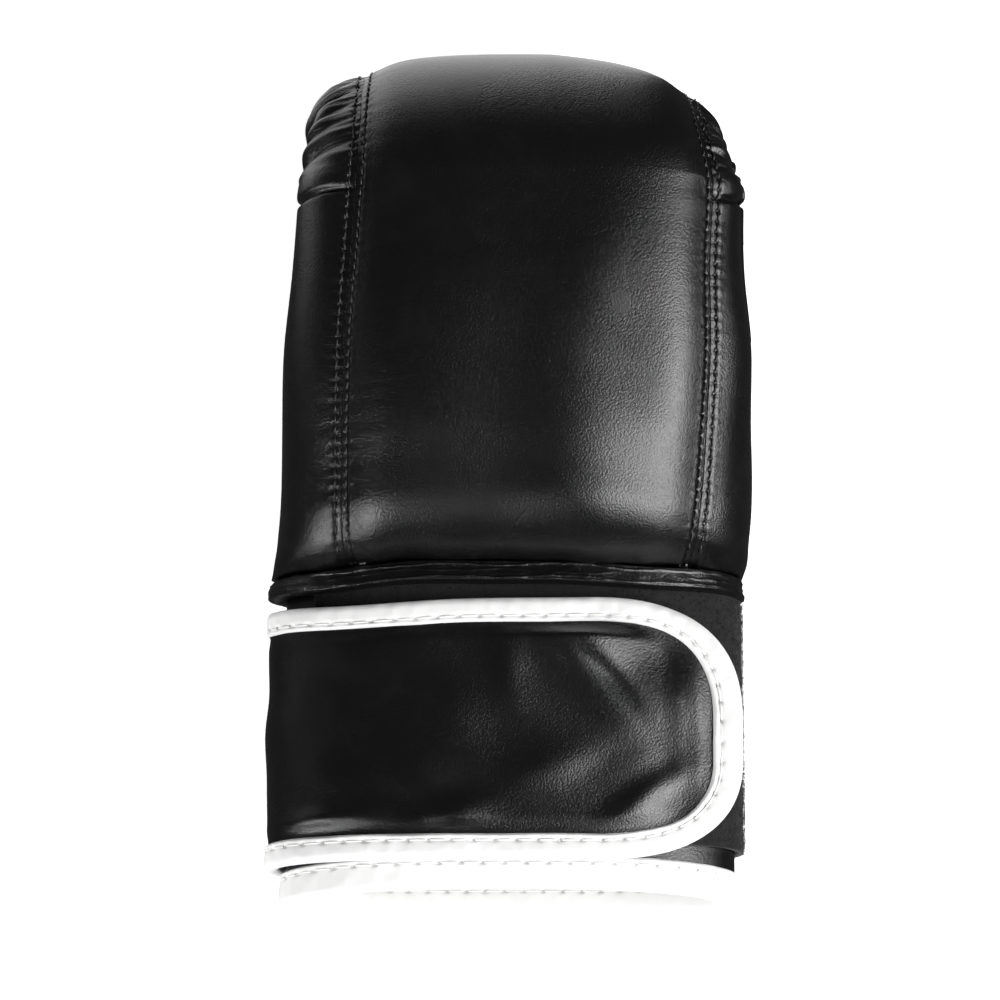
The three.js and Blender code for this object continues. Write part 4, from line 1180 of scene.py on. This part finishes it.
# Strap binding: the same white tape folded over the strap's two long edges and its round end, sewn
# through near its inner edge with white stitches.
STRAP_STITCH_AT = 5.2  # from the outer edge
STRAP_STEP = 0.55
STRAP_FOLD = 0.75
TAPE_TOP = STRAP_BINDING / 2 - 0.35
TAPE_UNDER = -STRAP_BINDING / 2 + 0.2
lengths = strap_stops(0, STRAP_STEP)
low, high = strap_edges(lengths, 0)
path = np.concatenate([together(lengths, low), together(lengths, high)[-2::-1]])
path = path[np.concatenate([[True], np.linalg.norm(np.diff(path, axis=0), axis=1) > 0.02])]
path_t = lengths_along(path)
tape_t = np.linspace(0, path_t[-1], int(path_t[-1] / STRAP_STEP))
path = at_lengths(tape_t, path_t, path)
path_along = unit(np.gradient(path, axis=0))


def on_binding(rows, inward, height):
    """Points of the tape: how far in from its outer edge, and a height over the strap's middle."""
    at, along = path[rows][:, None, :], path_along[rows][:, None, :]
    inward = inward * (1 + 0.2 * bump(at[..., 0] - strap_total, 10))
    return wrap(at[..., 0] - along[..., 1] * inward, at[..., 1] + along[..., 0] * inward, height)


def open_tube(name, outlines, material):
    """A tube whose cross-sections are closed outlines that run out and back, with both ends closed."""
    index = numbers(outlines)
    faces = quads(np.pad(index, ((0, 0), (0, 1)), mode="wrap")).tolist()
    faces += [index[0, ::-1].tolist(), index[-1].tolist()]
    return new_piece(name, outlines.reshape(-1, 3), faces, material)


t = tape_t[:, None]
w = np.concatenate([[STRAP_BINDING_WIDTH], np.linspace(6.85, 3.6, 13), np.linspace(3.0, 0.9, 6)])[None, :]
tape_face = TAPE_TOP + binding_relief(w, t, 251, STRAP_STITCH_AT)
tape_face = tape_face - 0.8 * bump(w - STRAP_BINDING_WIDTH, 0.3) - 0.5 * bump(w - 0.4, 0.8)
fold_turn = np.linspace(0, math.pi, 8)[1:-1][None, :]
slot_half = STRAP_BINDING / 2 - TAPE
tape_parts = [
    (w + 0.15 * smooth_noise(261, t / 17) * (w > 6), tape_face),
    (STRAP_FOLD * (1 - np.sin(fold_turn)), (STRAP_BINDING / 2 - STRAP_FOLD) * np.cos(fold_turn)),
    (w[:, ::-1], TAPE_UNDER),
    (np.array([[STRAP_BINDING_WIDTH, TAPE, TAPE, STRAP_BINDING_WIDTH]]),
     np.array([[-slot_half, -slot_half, slot_half, slot_half]])),
]
tape_rows = np.arange(len(path))
outlines = np.concatenate([on_binding(tape_rows, inward, height) for inward, height in tape_parts], axis=1)
dress(open_tube("strap_binding_tape", outlines, white_tape), "strap_binding")

# Hook patch: a piece of hook tape under the strap's end, which grips the loop pile.
HOOK_LENGTH = 32
HOOK_HEIGHT = 48
HOOK_PITCH = 1.6
HOOK_BRISTLE = 0.15
HOOK_BLACK = (0.008, 0.008, 0.008, 1)
hook_end = strap_total - TIP_LENGTH / 2
lengths = np.linspace(hook_end - HOOK_LENGTH, hook_end, 44)[:, None]
ys = np.linspace(STRAP_MIDDLE - HOOK_HEIGHT / 2, STRAP_MIDDLE + HOOK_HEIGHT / 2, 60)[None, :]
under = -STRAP_THICKNESS / 2 - GAP
bristle = np.cos(lengths * 2 * math.pi / HOOK_PITCH) * np.cos(ys * 2 * math.pi / HOOK_PITCH)
hook_face = wrap(lengths, ys, under - HOOK + HOOK_BRISTLE * (1 + bristle))
black_hook = pile_material("black_hook", HOOK_BLACK)
hook_patch = closed_sheet("hook_patch_tape", wrap(lengths, ys, under), hook_face, black_hook)
dress(hook_patch, "hook_patch")

# Stitches. Black bonded thread in two rows along each seam of the back, and white thread along the
# tapes. Each is a short bow of thread that sinks into its needle holes.
SEAM_THREAD = 0.27
SEAM_BOW = (0.41 * SEAM_PITCH, -0.5, 0.75)  # half its length, the height of its ends and of its middle
SEAM_BOW_LIFT = 0.12
SEAM_TILT = 0.09
TAPE_THREAD = 0.26
TAPE_BOW = (0.36 * BINDING_PITCH, -0.3, 0.42)
TAPE_BOW_SINK = 0.02
THREAD_TWIST = 4000
TWIST_DEPTH = 0.00005


def bow_group():
    """Sets a bent piece of thread on each point, along and up as the point's attributes say."""
    group = bpy.data.node_groups.new("thread_bows", "GeometryNodeTree")
    face = group.interface
    sockets = {"Geometry": "Geometry", "Start": "Vector", "Middle": "Vector", "End": "Vector",
               "Radius": "Float", "Detail": "Int", "Material": "Material"}
    for name, kind in sockets.items():
        face.new_socket(name=name, in_out="INPUT", socket_type="NodeSocket" + kind)
    face.new_socket(name="Geometry", in_out="OUTPUT", socket_type="NodeSocketGeometry")
    given = group.nodes.new("NodeGroupInput").outputs

    def read(name, kind):
        node = add_node(group, "GeometryNodeInputNamedAttribute", {"Name": name}, data_type=kind)
        return node.outputs["Attribute"]

    bow = add_node(group, "GeometryNodeCurveQuadraticBezier", {
        "Start": given["Start"],
        "Middle": given["Middle"],
        "End": given["End"],
        "Resolution": given["Detail"],
    })
    circle = add_node(group, "GeometryNodeCurvePrimitiveCircle", {
        "Resolution": given["Detail"], "Radius": given["Radius"]})
    thread = add_node(group, "GeometryNodeCurveToMesh", {
        "Curve": bow.outputs["Curve"], "Profile Curve": circle.outputs["Curve"], "Fill Caps": True})
    turn = add_node(group, "FunctionNodeAxesToRotation", {
        "Primary Axis": read("along", "FLOAT_VECTOR"),
        "Secondary Axis": read("up", "FLOAT_VECTOR"),
    }, primary_axis="X", secondary_axis="Z")
    copies = add_node(group, "GeometryNodeInstanceOnPoints", {
        "Points": given["Geometry"],
        "Instance": thread.outputs["Mesh"],
        "Rotation": turn.outputs["Rotation"],
        "Scale": read("size", "FLOAT"),
    })
    real = add_node(group, "GeometryNodeRealizeInstances", {"Geometry": copies.outputs["Instances"]})
    smooth = add_node(group, "GeometryNodeSetShadeSmooth", {"Geometry": real.outputs["Geometry"]})
    paint = add_node(group, "GeometryNodeSetMaterial", {
        "Geometry": smooth.outputs["Geometry"], "Material": given["Material"]})
    add_node(group, "NodeGroupOutput", {"Geometry": paint.outputs["Geometry"]})
    return group


bows = bow_group()


def set_bows(name, points, along, up, size, bow, radius, detail, material):
    """One mesh with a bow on each of the points, from its start over its middle to its end."""
    mesh = bpy.data.meshes.new(name)
    mesh.from_pydata(to_frame(points).tolist(), [], [])
    fields = (("along", "FLOAT_VECTOR", "vector", along), ("up", "FLOAT_VECTOR", "vector", up),
              ("size", "FLOAT", "value", size))
    for label, kind, key, values in fields:
        mesh.attributes.new(label, kind, "POINT").data.foreach_set(key, np.ravel(values))
    seeds = add_object(name + "_points", mesh)
    modifier = seeds.modifiers.new("bows", "NODES")
    modifier.node_group = bows
    values = {key: [v * MM for v in place] for key, place in zip(("Start", "Middle", "End"), bow)}
    values.update({"Radius": radius * MM, "Detail": detail, "Material": material})
    for item in bows.interface.items_tree:
        if item.in_out == "INPUT" and item.name in values:
            modifier[item.identifier] = values[item.name]
    bpy.context.view_layer.update()
    done = bpy.data.meshes.new_from_object(seeds.evaluated_get(bpy.context.evaluated_depsgraph_get()))
    bpy.data.objects.remove(seeds)
    done.materials.clear()
    done.materials.append(material)
    for label, *_ in fields:
        if label in done.attributes:
            done.attributes.remove(done.attributes[label])
    return add_object(name, done)


def bent(half, ends, middle):
    return (-half, 0, ends), (0, 0, middle), (half, 0, ends)


def along_line(line, normals, t, at):
    """Places, directions and normals at the lengths at of a line whose points have the lengths t."""
    ahead, behind = at_lengths(at + 0.8, t, line), at_lengths(at - 0.8, t, line)
    return at_lengths(at, t, line), unit(ahead - behind), unit(at_lengths(at, t, normals))


def thread_material(name, colour, roughness):
    return noise_material(name, colour, roughness, THREAD_TWIST, TWIST_DEPTH)


black_thread = thread_material("black_thread", (0.012, 0.012, 0.013, 1), 0.32)
white_thread = thread_material("white_thread", (0.80, 0.80, 0.79, 1), 0.5)
seam_parts = []
for side, line, normals in STITCH_ROWS:
    t = SEAM_RUN[side]
    at = (np.arange(2, int((t[-1] - 4) / SEAM_PITCH)) + 0.5) * SEAM_PITCH
    seam_parts.append(along_line(line, normals, t, at))
places, directions, ups = (np.concatenate(part) for part in zip(*seam_parts))
thread_draws = np.random.default_rng(301)
tilt = thread_draws.normal(0, SEAM_TILT, (len(places), 1))
directions = unit(directions + np.cross(ups, directions) * tilt)
seam_stitches = set_bows(
    "seam_stitches", places + ups * SEAM_BOW_LIFT, directions, ups,
    thread_draws.uniform(0.94, 1.05, len(places)), bent(*SEAM_BOW), SEAM_THREAD, 8, black_thread)
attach(seam_stitches, "root")


def strap_stitch(rows, height):
    return on_binding(rows, STRAP_STITCH_AT, height)[:, 0]


strap_at = np.arange(0.5, int(tape_t[-1] / BINDING_PITCH)) * BINDING_PITCH
stitch_rows = np.floor(np.interp(strap_at, tape_t, tape_rows)).astype(int)
stitch_height = TAPE_TOP - TAPE_BOW_SINK
strap_places = strap_stitch(stitch_rows, stitch_height)
strap_ahead = strap_stitch(np.minimum(stitch_rows + 2, tape_rows[-1]), stitch_height)
strap_along_tape = unit(strap_ahead - strap_places)
strap_up = unit(strap_stitch(stitch_rows, stitch_height + 1) - strap_places)
tape_parts = [
    (strap_places, strap_along_tape, strap_up),
    (strap_stitch(stitch_rows, TAPE_UNDER), strap_along_tape, -strap_up),
]
rim_at = (np.arange(rim_count) + 0.5) / rim_count * len(rim_angles)
rim_angle = np.interp(rim_at, np.arange(len(rim_angles)), rim_angles)
rim_y = RIM_STITCH_AT + rim_rise(rim_angle)
for outset, sign in ((RIM_OUT - TAPE_BOW_SINK, 1), (RIM_IN + TAPE_BOW_SINK, -1)):
    place = cuff_point(rim_angle, rim_y, outset)
    ahead = cuff_point(rim_angle + 0.01, rim_y, outset)
    above = cuff_point(rim_angle, rim_y, outset + sign)
    tape_parts.append((place, unit(ahead - place), unit(above - place)))
places, directions, ups = (np.concatenate(part) for part in zip(*tape_parts))
tape_stitches = set_bows(
    "tape_stitches", places, directions, ups,
    thread_draws.uniform(0.95, 1.05, len(places)), bent(*TAPE_BOW), TAPE_THREAD, 8, white_thread)
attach(tape_stitches, "root")

# Pile fibres: fine bent loops that stand on the loop panel where the strap leaves it bare.
FIBRES = 6000
FIBRE = 0.045
FIBRE_BOW = ((0, 0, 0), (0.1, 0, 1.0), (0.75, 0, 0.35))
FIBRE_ROOT = 0.2  # below the loop panel's outside
FIBRE_LEAN = 0.45
STRAP_HIDES = 3  # in from the strap's edge
pile_draws = np.random.default_rng(311)
angle = pile_draws.uniform(LOOP_START, LOOP_END, FIBRES * 3)
y = pile_draws.uniform(LOOP_FROM + 0.3, CUFF_LENGTH + 1, FIBRES * 3)
foot = cuff_point(angle, y, LOOP_OUTSIDE - FIBRE_ROOT + bulk(angle))
head = cuff_point(angle, y, LOOP_OUTSIDE + 1 - FIBRE_ROOT + bulk(angle))
tip_line = np.linspace(strap_total - 70, strap_total, 400)
tip_low, tip_high = strap_edges(tip_line, 0)
tip_x = wrap(tip_line, STRAP_MIDDLE, 0)[:, 0]
low_here = np.interp(foot[:, 0], tip_x, tip_low, left=STRAP_LOW, right=STRAP_MIDDLE)
high_here = np.interp(foot[:, 0], tip_x, tip_high, left=STRAP_LOW + STRAP_HEIGHT, right=STRAP_MIDDLE)
under_strap = (y > low_here + STRAP_HIDES) & (y < high_here - STRAP_HIDES)
covered = under_strap & (foot[:, 0] < tip_x[-1]) & (angle > 0.35)
foot, head = foot[~covered][:FIBRES], head[~covered][:FIBRES]
up = unit(head - foot)
lean = unit(pile_draws.normal(0, 1, (3, len(foot))).T)
along = unit(lean - up * np.sum(lean * up, axis=-1, keepdims=True))
fibres = set_bows(
    "pile_fibres", foot, along, unit(up + FIBRE_LEAN * lean),
    pile_draws.uniform(0.6, 1.25, len(foot)), FIBRE_BOW, FIBRE, 3, black_pile)
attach(fibres, "root")
